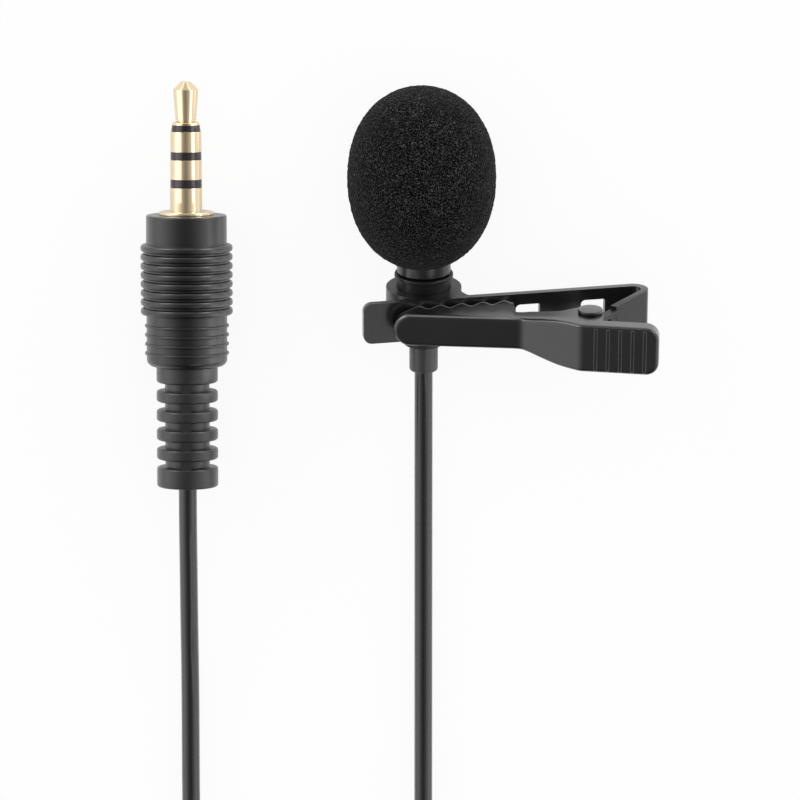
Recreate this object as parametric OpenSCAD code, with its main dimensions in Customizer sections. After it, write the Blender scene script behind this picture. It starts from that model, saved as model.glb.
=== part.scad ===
// Clip-on lavalier microphone: foam windscreen, tie clip, coiled cord and 3.5 mm four-pole plug.
// The part lies on a table: +Z is up, +Y points to the windscreen's end, sizes are in millimetres.

/* [Windscreen] */
// Radius of the foam windscreen
foam_r = 8.1; // [7:0.1:9.6]
// Half of the foam windscreen's length
foam_half = 10.15; // [9:0.05:12.4]
// How full the foam's outline is, 2 is an ellipse
foam_fullness = 2.15; // [2:0.05:2.6]
// How far the foam sits to the left of the microphone's axis
foam_aside = 0.25; // [0:0.05:0.4]

/* [Microphone] */
// Angle at which the microphone lies, windscreen up
lie_angle = 15; // [13:0.5:16]
// Radius of the microphone's head
head_r = 2.95; // [2.5:0.05:3.5]
// Wall of the head's tube
head_wall = 0.23; // [0.15:0.01:0.3]
// Height of the head's mouth above the windscreen's middle
head_top = 3.4; // [2.9:0.1:4.2]
// Depth of the head's shoulder below the windscreen's middle
head_bottom = 10.75; // [10.4:0.05:12]
// Radius of the stem that the clip holds
stem_r = 2.2; // [1.9:0.05:2.4]
// Length of the stem
stem_length = 8.4; // [7:0.1:10]
// Radius of the strain-relief sleeve
sleeve_r = 1.575; // [1.4:0.025:1.8]
// Length of the strain-relief sleeve
sleeve_length = 3.2; // [2.6:0.05:3.9]

/* [Clip holder] */
// Radius of the bush's flange
bush_flange_r = 3.22; // [3.1:0.02:3.8]
// Thickness of the bush's flange
bush_flange = 0.5; // [0.4:0.05:0.8]
// Wall of the bush
bush_wall = 0.7; // [0.5:0.05:0.8]
// Wall of the holder ring
ring_wall = 1.16; // [0.9:0.02:1.4]
// Height of the holder ring
ring_height = 3.8; // [3.1:0.1:4.2]
// Gap between the bush's flange and the holder ring
ring_drop = 1.1; // [0.5:0.05:1.4]

/* [Clip] */
// Turn of the clip about the microphone, right end down
clip_yaw = 11.2; // [0:0.1:13]
// Thickness of the clip's plate
plate_thick = 0.8; // [0.6:0.05:0.95]
// Width of the clip's plate
plate_width = 4.6; // [4.4:0.1:5.6]
// Plate's reach to the left of the microphone's axis
plate_left = 7.65; // [6.7:0.05:9.6]
// Plate's straight reach to the right of the microphone's axis
plate_right = 22.25; // [20.5:0.05:24]
// Inner radius of the bend at the plate's end
bend_r = 0.8; // [0.6:0.05:1.2]
// Angle that the plate turns through at the bend
bend_turn = 137; // [132:1:142]
// Length of the return leg
leg_length = 6.9; // [6.2:0.1:7.4]
// Size of a window in the plate along it
window_length = 2.7; // [2:0.05:3.1]
// Size of a window in the plate across it
window_width = 2.1; // [1.6:0.05:2.5]
// Distance of the first window's middle from the microphone's axis
window_first = 10.6; // [9:0.1:11.5]
// Distance between the two windows
window_pitch = 7.3; // [6:0.05:7.6]

/* [Lever] */
// Distance of the pivot from the microphone's axis along the plate
pivot_along = 15.7; // [15.6:0.1:16.4]
// Height of the pivot over the plate's face
pivot_height = 7.9; // [7.7:0.05:8.3]
// Angle between the jaw and the plate when closed
jaw_angle = 16.2; // [15.6:0.1:16.8]
// Reach of the jaw from the pivot
jaw_reach = 21.25; // [20.5:0.05:22.2]
// Width of the jaw
jaw_width = 3.56; // [3.3:0.02:4]
// Width of the thumb paddle
paddle_width = 5.35; // [4.8:0.05:6]
// Height of the jaw's face over the pivot
jaw_face = 0.42; // [0.2:0.02:0.7]
// Height of the paddle's near end over the pivot
paddle_near = 4.15; // [4.05:0.05:4.4]
// Height of the paddle's far end over the pivot
paddle_far = 4.7; // [4.6:0.05:5.2]
// Reach of the paddle from the pivot
paddle_reach = 7.6; // [7.4:0.01:9.7]
// Thickness of the lever's sheet
sheet = 0.6; // [0.45:0.05:0.65]
// Depth of the jaw's teeth
tooth_depth = 1.0; // [0.6:0.05:1.2]
// Number of teeth
tooth_count = 5; // [3:1:6]
// Distance between teeth
tooth_pitch = 2.26; // [1.8:0.02:2.26]
// Number of ribs on the paddle
rib_count = 5; // [3:1:5]
// Radius of the pivot pin
pin_r = 0.6; // [0.5:0.05:0.7]
// Radius of the pivot pin's heads
pin_head_r = 1.35; // [1.1:0.05:1.5]
// Thickness of the pivot pin's heads
pin_head = 0.35; // [0.25:0.05:0.5]
// Radius of the spring's turns, at the middle of the wire
spring_r = 1.2; // [1.15:0.01:1.25]
// Thickness of the spring's wire
spring_wire = 0.4; // [0.3:0.05:0.4]

/* [Plug] */
// Radius of the plug's shaft
plug_r = 1.75; // [1.7:0.01:1.8]
// Length of the plug's shaft in front of its flange
plug_length = 14.2; // [14:0.1:15]
// Radius of the metal flange
flange_r = 3.0; // [2.6:0.1:3.6]
// Thickness of the metal flange
flange_thick = 0.38; // [0.3:0.02:0.6]
// Radius of the grip's collar and barrel
barrel_r = 4.42; // [4.1:0.02:4.8]
// Radius of the grip rings
grip_r = 5.05; // [4.8:0.05:5.6]
// Length of the grip's collar
collar_length = 3.12; // [2.6:0.02:3.8]
// Number of grip rings
grip_count = 8; // [6:1:8]
// Distance between grip rings
grip_pitch = 0.99; // [0.9:0.01:1.1]
// Length of the barrel behind the grip rings
barrel_length = 5.6; // [4.9:0.1:6.8]
// Number of fine ribs on the barrel
barrel_ribs = 4; // [2:1:4]
// Wall of the grip's shell
shell_wall = 0.95; // [0.8:0.05:1.1]
// Radius of the strain relief
boot_r = 3.37; // [3:0.01:3.7]
// Radius of the strain relief in its gaps
boot_core_r = 2.45; // [2.1:0.05:2.7]
// Length of the strain relief's collar
boot_collar = 1.8; // [1.4:0.1:2.4]
// Number of discs of the strain relief
disc_count = 5; // [3:1:6]
// Distance between the discs
disc_pitch = 2.12; // [1.8:0.02:2.4]
// Gap between two discs
disc_gap = 0.85; // [0.6:0.05:1]

/* [Cord] */
// Diameter of the cord
cord_d = 2.0; // [1.8:0.1:2]
// Distance between the cord at the microphone and the cord at the plug
cord_spacing = 26.0; // [24:0.1:27]
// Number of turns in the coil
coil_turns = 18.5; // [12.5:1:18.5]
// Outer radius of the coil, at the middle of the cord
coil_r = 17.6; // [17.2:0.1:18]
// Distance between neighbouring turns and between layers
coil_pitch = 2.45; // [2.45:0.01:2.5]
// Thickness of the tie round the coil
tie_thick = 0.5; // [0.4:0.05:0.6]
// Width of the tie round the coil
tie_width = 3.4; // [2.4:0.1:3.6]

/* [Fits] */
// Radial clearance of pieces that slide or turn on each other
run_clear = 0.04; // [0.02:0.01:0.08]
// Radial clearance of pieces that are fixed to each other
fixed_clear = 0.02; // [0.01:0.01:0.03]
// Clearance between the closed jaw's teeth and the plate
jaw_clear = 0.1; // [0.05:0.01:0.2]

/* [Hidden] */

$fn = 48;
far = 40;
cord_r = cord_d / 2;

// Windscreen: a superellipse turned about the microphone's axis, heights run along that axis.
foam_steps = 40;
function foam_point(a) = [
  foam_r * pow(abs(cos(a)), 2 / foam_fullness),
  foam_half * sign(sin(a)) * pow(abs(sin(a)), 2 / foam_fullness)
];
foam_outline = [for (i = [0 : foam_steps]) foam_point(-90 + 180 * i / foam_steps)];
foam_bore_r = head_r + run_clear;
foam_bore_top = head_top + 0.2;

// Microphone head, from the mouth down
head_inner_r = head_r - head_wall;
grille_thick = 0.3;
grille_skirt = 0.5;
grille_hole_r = 0.22;
grille_hole_rings = 3;
felt_thick = 0.3;
can_r = head_inner_r - 0.17;
can_wall = 0.15;
can_top = head_top - grille_thick - grille_skirt;
can_height = 4.2;
board_thick = 0.45;
sound_hole_r = 0.45;
diaphragm_drop = 0.5;
stem_flange = 0.7;
stem_bore_r = cord_r + 0.3;
head_floor = 0.6;
stem_end = head_bottom + stem_length;
sleeve_end = stem_end + sleeve_length;
spigot_length = 2.6;
wire_r = 0.22;
wire_x = 0.5;
mic_cord_top = head_bottom - 2.2;
board_low = can_top - can_height - board_thick;

// Holder: the bush slides on the stem, the ring turns on the bush
flange_top = head_bottom + 0.15;
bush_bore_r = stem_r + run_clear;
bush_r = bush_bore_r + bush_wall;
ring_bore_r = bush_r + run_clear;
ring_r = ring_bore_r + ring_wall;
ring_top = flange_top + bush_flange + ring_drop;
ring_bottom = ring_top + ring_height;
clip_mid = ring_top - 0.15 + plate_width / 2;
rivet_r = 0.5;
rivet_head_r = 0.8;
rivet_head = 0.3;
rivet_x = 3.4;
rivet_depth = 1.6;

// Clip: heights over the microphone's axis, in the clip's own directions
plate_back = ring_r;
plate_face = plate_back + plate_thick;
plate_corner = 0.95;
bend_mid = plate_face + bend_r;
bend_out_r = bend_r + plate_thick;
bend_mid_r = bend_r + plate_thick / 2;
pivot_out = plate_face + pivot_height;
ear_thick = 0.5;
ear_half = 1.9;
ear_r = 1.25;
leg_full = 5.8;
seam = 0.02;
bend_steps = 14;
leg_way = [cos(bend_turn), sin(bend_turn)];
function bend_point(r, a) = [plate_right + r * sin(a), bend_mid - r * cos(a)];
function leg_point(r, l) = bend_point(r, bend_turn) + l * leg_way;

// Lever: x runs from the pivot to the paddle, y is the height over the pivot
slope_start = -7.4;
slope_end = -0.85;
flange_depth = 2.0;
flange_edge = [[-6.6, 2.15], [-4.9, 1.3], [-3.7, 0.85], [-2.95, 0.9]];
slope_mid = [0.31, 0.6];
slope_mid_half = [2.2, 2.6];
jaw_half = jaw_width / 2;
paddle_half = paddle_width / 2;
paddle_corner = 1.4;
ear_low_r = 1.25;
ear_low = 0.95;
ear_side = 1.4;
nose_x = -jaw_reach;
teeth_start = nose_x + 1.4;
teeth_end = teeth_start + tooth_count * tooth_pitch;
tooth_steps = 8;
rib_first = 0.83;
rib_pitch = 1.32;
rib_width = 0.42;
rib_height = 0.12;
pin_clear = 0.05;
paddle_slope = atan((paddle_far - paddle_near) / (paddle_reach - slope_end));
function plate_line(x) = -(pivot_height + x * sin(jaw_angle)) / cos(jaw_angle);
function tooth_line(x) = plate_line(x) + jaw_clear
  + tooth_depth * (1 - cos(360 * (x - teeth_start) / tooth_pitch - 180)) / 2;
function paddle_line(x) = paddle_near
  + (paddle_far - paddle_near) * (x - slope_end) / (paddle_reach - slope_end);

// The part's middle: half way between the outermost points, rounded to a tenth
function in_clip(p) = [
  pivot_along + p.x * cos(jaw_angle) - p.y * sin(jaw_angle),
  pivot_out + p.x * sin(jaw_angle) + p.y * cos(jaw_angle)
];
function over_mic(p) = [
  p.x * cos(clip_yaw) + p.y * sin(clip_yaw), p.y * cos(clip_yaw) - p.x * sin(clip_yaw)
];
function tenth(x) = round(10 * x) / 10;
foam_rest = max([for (p = foam_outline) p.x * cos(lie_angle) + p.y * sin(lie_angle)]);
foam_front = max([for (p = foam_outline) p.x * sin(lie_angle) + p.y * cos(lie_angle)]);
sleeve_back = sleeve_end * cos(lie_angle) + sleeve_r * sin(lie_angle);
clip_reach = over_mic(in_clip([paddle_reach, paddle_far])).x;
mic_x = -tenth((clip_reach - foam_r - foam_aside) / 2);
mic_y = -tenth((foam_front - sleeve_back) / 2);

// Plug: heights run along its axis, the tip's way is up and the flange's face is zero
plug_x = mic_x - cord_spacing;
plug_y = mic_y - 3.9;
tip_widest = plug_length - 0.9;
tip_neck = plug_length - 4.25;
band_1 = [plug_length - 5.44, plug_length - 4.75];
band_2 = [plug_length - 8.53, plug_length - 7.67];
band_3 = [plug_length - 11.58, plug_length - 10.68];
tip_r = 1.38;
tip_flat_r = 0.42;
tip_neck_r = 1.12;
tip_shoulder_r = 1.52;
rod_r = 0.42;
tube_1_r = 0.62;
tube_2_r = 0.78;
tube_3_r = 0.95;
tube_4_r = 1.12;
tube_5_r = 1.3;
tube_6_r = 1.5;
tail_step = 0.7;
tail_first = 5.0;
lug_length = 2.2;
core_r = 3.2;
core_neck_r = 2.3;
core_end = 5.6;
front_wall = 1.0;
grip_depth = 0.25;
rib_r = 0.1;
rib_rise = 0.2;
barrel_round = 0.8;
collar_end = flange_thick + collar_length;
rings_end = collar_end + grip_count * grip_pitch;
barrel_end = rings_end + barrel_length;
shell_r = barrel_r - shell_wall;
boot_neck_r = 2.6;
boot_neck = 1.0;
boot_lip = 0.9;
boot_end = barrel_end + boot_collar + disc_count * disc_pitch + 0.95;
web_width = 1.15;
plug_cord_start = barrel_end - 4.4;

// Cord: the stretches' points, chosen by hand and round; x is given from the microphone's axis
mic_exit = [mic_x, mic_y - sleeve_end * cos(lie_angle), foam_rest - sleeve_end * sin(lie_angle)];
mic_lead = [
  mic_exit,
  mic_exit - 2 * [0, cos(lie_angle), sin(lie_angle)],
  [mic_x, -22, 1.35],
  [mic_x, -26, 1.05],
  [mic_x, -31, 1],
  [mic_x, -36, 1],
  [mic_x, -41, 1],
  [mic_x, -46, 1],
  [mic_x, -51, 1],
  [mic_x, -56, 1],
  [mic_x, -61, 1],
  [mic_x, -65, 1]
];
coil_x = mic_x - cord_spacing / 2;
coil_y = -89;
coil_base = tie_thick + 0.05 + cord_r;
join_steps = 8;

// An S-shaped join between a lead and the coil's outer turn
function ease(u) = u * u * (3 - 2 * u);
function join(a, b) = [
  for (i = [0 : join_steps])
    let (u = i / join_steps)
      [a.x + (b.x - a.x) * ease(u), a.y + (b.y - a.y) * u, a.z + (b.z - a.z) * ease(u)]
];
coil_in = [coil_x + coil_r, coil_y, coil_base];
coil_out = [coil_x - coil_r, coil_y, coil_base + 3 * coil_pitch];
straight = cord_d;
mic_route = concat(
  mic_lead,
  join([mic_x, -68, 1], coil_in + [0, 2 * straight, 0]),
  [coil_in + [0, straight, 0]]
);
plug_exit = [plug_x, plug_y - boot_end, grip_r];
plug_lead = [
  plug_exit,
  plug_exit - [0, straight, 0],
  plug_exit - [0, 5, 0.2],
  plug_exit - [0, 8, 0.8],
  [plug_x, -44, 2.9],
  [plug_x, -48, 1.9],
  [plug_x, -52, 1.35],
  [plug_x, -56, 1.2],
  [plug_x, -61, 1.2]
];
plug_route = concat(
  plug_lead,
  join([plug_x, -65, 1.3], coil_out + [0, 4 * straight, 0]),
  [coil_out + [0, straight, 0]]
);

// Coil: the radius falls and rises at a steady rate, a layer climbs in the half turn at each turning
layers = 4;
leg_turns = coil_turns / layers;
function coil_radius(t) =
  let (m = t / leg_turns, k = floor(m / 2) * 2)
    coil_r - coil_pitch * leg_turns * (m - k < 1 ? m - k : 2 - (m - k));
function climb(t, at) = min(1, max(0, (t - at) / 0.5 + 0.5));
function coil_height(t) = coil_base + coil_pitch * (
  climb(t, leg_turns) + climb(t, 2 * leg_turns) + climb(t, 3 * leg_turns)
);
function coil_point(t) = [
  coil_x + coil_radius(t) * cos(-360 * t),
  coil_y + coil_radius(t) * sin(-360 * t),
  coil_height(t)
];
loop_rings = 24;
coil_rings = round(coil_turns * loop_rings);
coil_line = concat(
  [coil_in + [0, straight, 0]],
  [for (i = [0 : coil_rings]) coil_point(coil_turns * i / coil_rings)],
  [coil_out + [0, straight, 0]]
);
near_rings = round(loop_rings / 2);
coil_gap = min([
  for (i = [0 : len(coil_line) - 1 - near_rings], j = [i + near_rings : len(coil_line) - 1])
    norm(coil_line[i] - coil_line[j])
]) - cord_d;
echo(coil_least_gap = coil_gap);

// Length of a line of points
function length_of(line) =
  [for (i = 0, sum = 0; i < len(line); i = i + 1,
    sum = i < len(line) ? sum + norm(line[i] - line[i - 1]) : sum) sum][len(line) - 1];
echo(cord_length = length_of(mic_route) + length_of(coil_line) + length_of(plug_route));

// Spring: from the arm on the return leg round the pin to the arm under the paddle
spring_pitch = 0.85;
arm_in = bend_turn - 90;
arm_out = -9;
spring_turn = arm_out + 720 - arm_in;
arm_1 = 4.4;
arm_from = spring_r * [cos(arm_out - jaw_angle), sin(arm_out - jaw_angle)];
arm_rise = tan(paddle_slope);
arm_under = paddle_near - sheet - spring_wire / 2 - arm_rise * (slope_end - arm_from.x);
arm_2 = (arm_under - arm_from.y)
  / (cos(arm_out - jaw_angle) + arm_rise * sin(arm_out - jaw_angle));
spring_steps = 14;
function spring_point(u) =
  let (a = arm_in + spring_turn * u)
    [spring_r * cos(a), spring_r * sin(a), spring_pitch * spring_turn / 360 * (u - 0.5)];
spring_first = spring_point(0);
spring_last = spring_point(1);
spring_line = concat(
  [spring_first - arm_1 * [leg_way.x, leg_way.y, 0]],
  [for (i = [0 : spring_steps]) spring_point(i / spring_steps)],
  [spring_last + arm_2 * [-sin(arm_out), cos(arm_out), 0]]
);
echo(spring_least_gap = spring_pitch - spring_wire);

// A tube of the given radius along a line of points
function unit(v) = v / norm(v);
function way(line, i) = unit(line[min(i + 1, len(line) - 1)] - line[max(i - 1, 0)]);
function ring(line, i, r, sides) =
  let (t = way(line, i), n = unit(cross(t, [0, 0, 1])), b = cross(n, t))
    [for (k = [0 : sides - 1])
      line[i] + r * (cos(360 * k / sides + 90) * n + sin(360 * k / sides + 90) * b)];
module tube(line, r, sides) {
  last = len(line) - 1;
  points = [for (i = [0 : last]) each ring(line, i, r, sides)];
  walls = [
    for (i = [0 : last - 1], k = [0 : sides - 1])
      let (a = i * sides + k, b = i * sides + (k + 1) % sides)
        each [[a, b, b + sides], [a, b + sides, a + sides]]
  ];
  caps = [
    for (k = [1 : sides - 2])
      each [[0, k + 1, k], [last * sides, last * sides + k, last * sides + k + 1]]
  ];
  polyhedron(points, concat(walls, caps));
}

// A straight round bar between two points
module bar(a, b, r) {
  v = b - a;
  translate(a)
    rotate([0, acos(v.z / norm(v)), atan2(v.y, v.x)])
      cylinder(r = r, h = norm(v), $fn = 24);
}

// A round tube between two heights
module pipe(r_in, r_out, low, high) {
  translate([0, 0, low])
    difference() {
      cylinder(r = r_out, h = high - low);
      translate([0, 0, -far])
        cylinder(r = r_in, h = 3 * far);
    }
}

// Frames: the microphone stands up along Z here, its front is -Y
module in_mic() {
  translate([mic_x, mic_y, foam_rest])
    rotate([lie_angle - 90, 0, 0])
      children();
}

module in_clip_frame() {
  in_mic()
    rotate([0, 0, clip_yaw])
      mirror([0, 1, 0])
        translate([0, 0, -clip_mid])
          children();
}

module at_pivot() {
  in_clip_frame()
    translate([pivot_along, pivot_out, 0])
      children();
}

module in_plug() {
  translate([plug_x, plug_y, grip_r])
    rotate([-90, 0, 0])
      children();
}

// Microphone
module windscreen() {
  color("dimgray")
    in_mic()
      difference() {
        translate([-foam_aside, 0, 0])
          rotate_extrude()
            polygon(concat(foam_outline, [[0, foam_half], [0, -foam_half]]));
        translate([0, 0, -far])
          cylinder(r = foam_bore_r, h = far + foam_bore_top);
      }
}

module mic_housing() {
  color("darkslategray")
    in_mic() {
      pipe(head_inner_r, head_r, -head_bottom, head_top);
      pipe(stem_r + fixed_clear, head_inner_r, -head_bottom, -head_bottom + head_floor);
    }
}

module mic_grille() {
  color("gray")
    in_mic()
      difference() {
        translate([0, 0, can_top])
          cylinder(r = head_inner_r - fixed_clear, h = head_top - can_top);
        translate([0, 0, can_top - 1])
          cylinder(r = head_inner_r - 0.2, h = 1 + grille_skirt);
        for (k = [0 : grille_hole_rings], i = [0 : max(0, 6 * k - 1)])
          rotate([0, 0, 360 * i / max(1, 6 * k)])
            translate([0.72 * k, 0, 0])
              cylinder(r = grille_hole_r, h = far, $fn = 16);
      }
}

module grille_felt() {
  color("black")
    in_mic()
      translate([0, 0, head_top - grille_thick - felt_thick - fixed_clear])
        cylinder(r = head_inner_r - 0.25, h = felt_thick);
}

module capsule_seal() {
  color("black")
    in_mic()
      pipe(can_r + fixed_clear, head_inner_r - fixed_clear, can_top - 3.2, can_top - 1);
}

module capsule_can() {
  color("silver")
    in_mic()
      difference() {
        translate([0, 0, can_top - can_height])
          cylinder(r = can_r, h = can_height - fixed_clear);
        translate([0, 0, can_top - can_height - 1])
          cylinder(r = can_r - can_wall, h = can_height + 1 - 0.25);
        cylinder(r = sound_hole_r, h = far);
      }
}

module capsule_diaphragm() {
  color("gold")
    in_mic() {
      pipe(1.9, can_r - can_wall - fixed_clear, can_top - 0.8, can_top - 0.3);
      translate([0, 0, can_top - 0.85])
        cylinder(r = can_r - can_wall - fixed_clear, h = 0.05);
    }
}

module capsule_backplate() {
  color("goldenrod")
    in_mic()
      difference() {
        translate([0, 0, can_top - 1.6])
          cylinder(r = can_r - can_wall - fixed_clear, h = 0.7);
        for (i = [0 : 3])
          rotate([0, 0, 90 * i])
            translate([1.1, 0, can_top - 2])
              cylinder(r = 0.25, h = 2, $fn = 24);
      }
}

module capsule_board() {
  color("seagreen")
    in_mic() {
      translate([0, 0, board_low])
        cylinder(r = can_r, h = board_thick - fixed_clear);
      for (x = [-wire_x, wire_x])
        translate([x, 0, board_low - 0.25])
          cylinder(r = 0.4, h = 0.25);
    }
}

module mic_wires() {
  color("firebrick")
    in_mic()
      for (x = [-wire_x, wire_x])
        translate([x, 0, -mic_cord_top + fixed_clear])
          cylinder(r = wire_r, h = mic_cord_top + board_low - 0.25 - 2 * fixed_clear, $fn = 24);
}

module mic_stem() {
  color("black")
    in_mic() {
      pipe(stem_bore_r, stem_r, -stem_end, -head_bottom + head_floor);
      translate([0, 0, -head_bottom + head_floor + fixed_clear])
        pipe(stem_bore_r, head_inner_r - fixed_clear, 0, stem_flange);
      pipe(stem_bore_r, stem_r, -head_bottom, -head_bottom + head_floor + stem_flange);
    }
}

module mic_strain_relief() {
  color("black")
    in_mic()
      rotate_extrude()
        polygon([
          [cord_r + fixed_clear, -sleeve_end],
          [sleeve_r - 0.4, -sleeve_end],
          [sleeve_r - 0.12, -sleeve_end + 0.12],
          [sleeve_r, -sleeve_end + 0.4],
          [sleeve_r, -stem_end - fixed_clear],
          [stem_bore_r - fixed_clear, -stem_end - fixed_clear],
          [stem_bore_r - fixed_clear, -stem_end + spigot_length],
          [cord_r + fixed_clear, -stem_end + spigot_length]
        ]);
}

module mic_cord_end() {
  color("black")
    in_mic()
      translate([0, 0, -sleeve_end])
        cylinder(r = cord_r, h = sleeve_end - mic_cord_top);
}

// Clip
module holder_bush() {
  color("black")
    in_mic() {
      pipe(bush_bore_r, bush_flange_r, -flange_top - bush_flange, -flange_top);
      pipe(bush_bore_r, bush_r, -ring_bottom, -flange_top);
    }
}

module holder_ring() {
  color("dimgray")
    in_clip_frame()
      difference() {
        translate([0, 0, clip_mid - ring_bottom])
          linear_extrude(ring_height)
            difference() {
              union() {
                circle(r = ring_r);
                polygon([
                  [0, 0], [ring_r - 0.5, 1.5], [ring_r - 0.4, 2.6], [ring_r - 0.1, 3.4],
                  [ring_r + 0.4, plate_back - 0.02], [0, plate_back - 0.02]
                ]);
              }
              circle(r = ring_bore_r);
            }
        rivet_shank(fixed_clear);
      }
}

module rivet_shank(more) {
  translate([rivet_x, plate_back - rivet_depth - more, 0])
    rotate([-90, 0, 0])
      cylinder(r = rivet_r + more, h = rivet_depth + plate_thick + more, $fn = 32);
}

module holder_rivet() {
  color("silver")
    in_clip_frame() {
      rivet_shank(0);
      translate([rivet_x, plate_face + fixed_clear, 0])
        rotate([-90, 0, 0])
          cylinder(r = rivet_head_r, h = rivet_head - fixed_clear, $fn = 32);
      translate([rivet_x, plate_face - 0.1, 0])
        rotate([-90, 0, 0])
          cylinder(r = rivet_r, h = 0.2, $fn = 32);
    }
}

module plate_strip() {
  translate([0, 0, -plate_width / 2])
    linear_extrude(plate_width)
      polygon(concat(
        [[-plate_left, plate_back]],
        [for (i = [0 : bend_steps]) bend_point(bend_out_r, bend_turn * i / bend_steps)],
        [leg_point(bend_out_r, leg_full), leg_point(bend_r, leg_full)],
        [for (i = [bend_steps : -1 : 0]) bend_point(bend_r, bend_turn * i / bend_steps)],
        [[-plate_left, plate_face]]
      ));
}

module plate_corners() {
  for (s = [-1, 1])
    difference() {
      translate([-plate_left - 1, plate_back - 1, s > 0 ? plate_width / 2 - plate_corner : -far])
        cube([1 + plate_corner, plate_thick + 2, s > 0 ? far : far - plate_width / 2 + plate_corner]);
      translate([-plate_left + plate_corner, plate_back - 2, s * (plate_width / 2 - plate_corner)])
        rotate([-90, 0, 0])
          cylinder(r = plate_corner, h = plate_thick + 4);
    }
}

module plate_tongue() {
  translate([0, 0, seam - ear_half])
    linear_extrude(2 * (ear_half - seam))
      polygon([
        leg_point(bend_r + seam, leg_full - 1), leg_point(bend_out_r - seam, leg_full - 1),
        leg_point(bend_out_r - seam, leg_length), leg_point(bend_r + seam, leg_length)
      ]);
}

module plate_ears() {
  over = [pivot_along, pivot_out] - leg_point(bend_mid_r, leg_length);
  square_way = unit([over.y, -over.x]) * ear_r;
  for (z = [-ear_half, ear_half - ear_thick])
    translate([0, 0, z])
      linear_extrude(ear_thick)
        difference() {
          union() {
            translate([pivot_along, pivot_out])
              circle(r = ear_r);
            polygon([
              [pivot_along, pivot_out] + square_way, [pivot_along, pivot_out] - square_way,
              leg_point(bend_r + 2 * seam, leg_length - seam),
              leg_point(bend_r + 2 * seam, leg_full - 1.2),
              leg_point(bend_out_r - 2 * seam, leg_full - 1.2)
            ]);
          }
          translate([pivot_along, pivot_out])
            circle(r = pin_r + fixed_clear);
        }
}

module window(x) {
  hull()
    for (side = [[-1, 0.5], [1, 0.2]], z = [-1, 1])
      translate([
        x + side[0] * (window_length / 2 - side[1]), plate_back - 1, z * (window_width / 2 - side[1])
      ])
        rotate([-90, 0, 0])
          cylinder(r = side[1], h = plate_thick + 2, $fn = 24);
}

module clip_back_plate() {
  color("darkslategray")
    in_clip_frame()
      difference() {
        union() {
          plate_strip();
          plate_tongue();
          plate_ears();
        }
        plate_corners();
        window(window_first);
        window(window_first + window_pitch);
        rivet_shank(fixed_clear);
      }
}

module lever_side(inner) {
  drop = inner ? sheet : 0;
  polygon(concat(
    [
      [nose_x, jaw_face - drop], [nose_x, inner ? -far : jaw_face - 1.3],
      [teeth_start, inner ? -far : tooth_line(teeth_start)]
    ],
    inner ? [] : [
      for (i = [1 : tooth_count * tooth_steps])
        let (x = teeth_start + i * tooth_pitch / tooth_steps) [x, tooth_line(x)]
    ],
    inner ? [[paddle_reach, -far]] : [
      [teeth_end + 0.4, jaw_face - flange_depth - 0.25],
      for (p = flange_edge) [p.x, jaw_face - p.y],
      for (a = [-150 : 20 : -10]) [ear_low_r * cos(a), ear_low_r * sin(a) - ear_low],
      [ear_side, 0], [ear_side + 0.1, paddle_line(ear_side) - flange_depth],
      [paddle_reach, paddle_far - flange_depth]
    ],
    [
      [paddle_reach, paddle_far - drop], [slope_end, paddle_near - drop],
      [slope_start, jaw_face - drop]
    ]
  ));
}

module lever_plan(inset) {
  jaw = jaw_half - inset;
  paddle = paddle_half - inset;
  corner = paddle_corner - inset;
  translate([nose_x + jaw_half, 0])
    circle(r = jaw);
  slope = slope_end - slope_start;
  side = [
    [nose_x + jaw_half, jaw], [slope_start, jaw],
    for (i = [0, 1]) [slope_start + slope_mid[i] * slope, slope_mid_half[i] - inset],
    [slope_end, paddle], [paddle_reach - paddle_corner, paddle]
  ];
  polygon(concat(side, [for (i = [len(side) - 1 : -1 : 0]) [side[i].x, -side[i].y]]));
  translate([0, -paddle_half + paddle_corner])
    square([paddle_reach - inset, paddle_width - 2 * paddle_corner]);
  for (s = [-1, 1])
    translate([paddle_reach - paddle_corner, s * (paddle_half - paddle_corner)])
      circle(r = corner);
}

module lever_form(inner, inset) {
  intersection() {
    translate([0, 0, -far])
      linear_extrude(2 * far)
        lever_side(inner);
    rotate([90, 0, 0])
      translate([0, 0, -far])
        linear_extrude(2 * far)
          lever_plan(inset);
  }
}

module clip_lever() {
  color("black")
    at_pivot()
      rotate([0, 0, jaw_angle])
        difference() {
          union() {
            difference() {
              lever_form(false, 0);
              lever_form(true, sheet);
            }
            for (i = [0 : rib_count - 1])
              translate([rib_first + i * rib_pitch, paddle_line(rib_first + i * rib_pitch), 0])
                rotate([0, 0, paddle_slope])
                  translate([-rib_width / 2, -0.1, -paddle_half + 0.25])
                    cube([rib_width, rib_height + 0.1, paddle_width - 0.5]);
          }
          translate([0, 0, -far])
            cylinder(r = pin_r + run_clear, h = 2 * far);
        }
}

module pivot_pin() {
  head_in = paddle_half + pin_clear;
  color("silver")
    at_pivot() {
      translate([0, 0, -head_in - pin_head])
        cylinder(r = pin_r, h = 2 * (head_in + pin_head));
      for (z = [-head_in - pin_head, head_in])
        translate([0, 0, z])
          cylinder(r = pin_head_r, h = pin_head);
    }
}

module torsion_spring() {
  color("silver")
    at_pivot()
      tube(spring_line, spring_wire / 2, 6);
}

// Plug
module plug_tip() {
  color("gold")
    in_plug()
      rotate_extrude()
        polygon([
          [0, -tail_first - 6 * tail_step], [rod_r, -tail_first - 6 * tail_step],
          [rod_r, band_1[1]], [tip_shoulder_r, band_1[1]], [tip_shoulder_r - 0.06, band_1[1] + 0.25],
          [tip_neck_r, tip_neck], [tip_r - 0.02, tip_widest - 0.35], [tip_r, tip_widest],
          [tip_r - 0.1, tip_widest + 0.2], [tip_flat_r + 0.15, plug_length - 0.05],
          [tip_flat_r, plug_length], [0, plug_length]
        ]);
}

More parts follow.
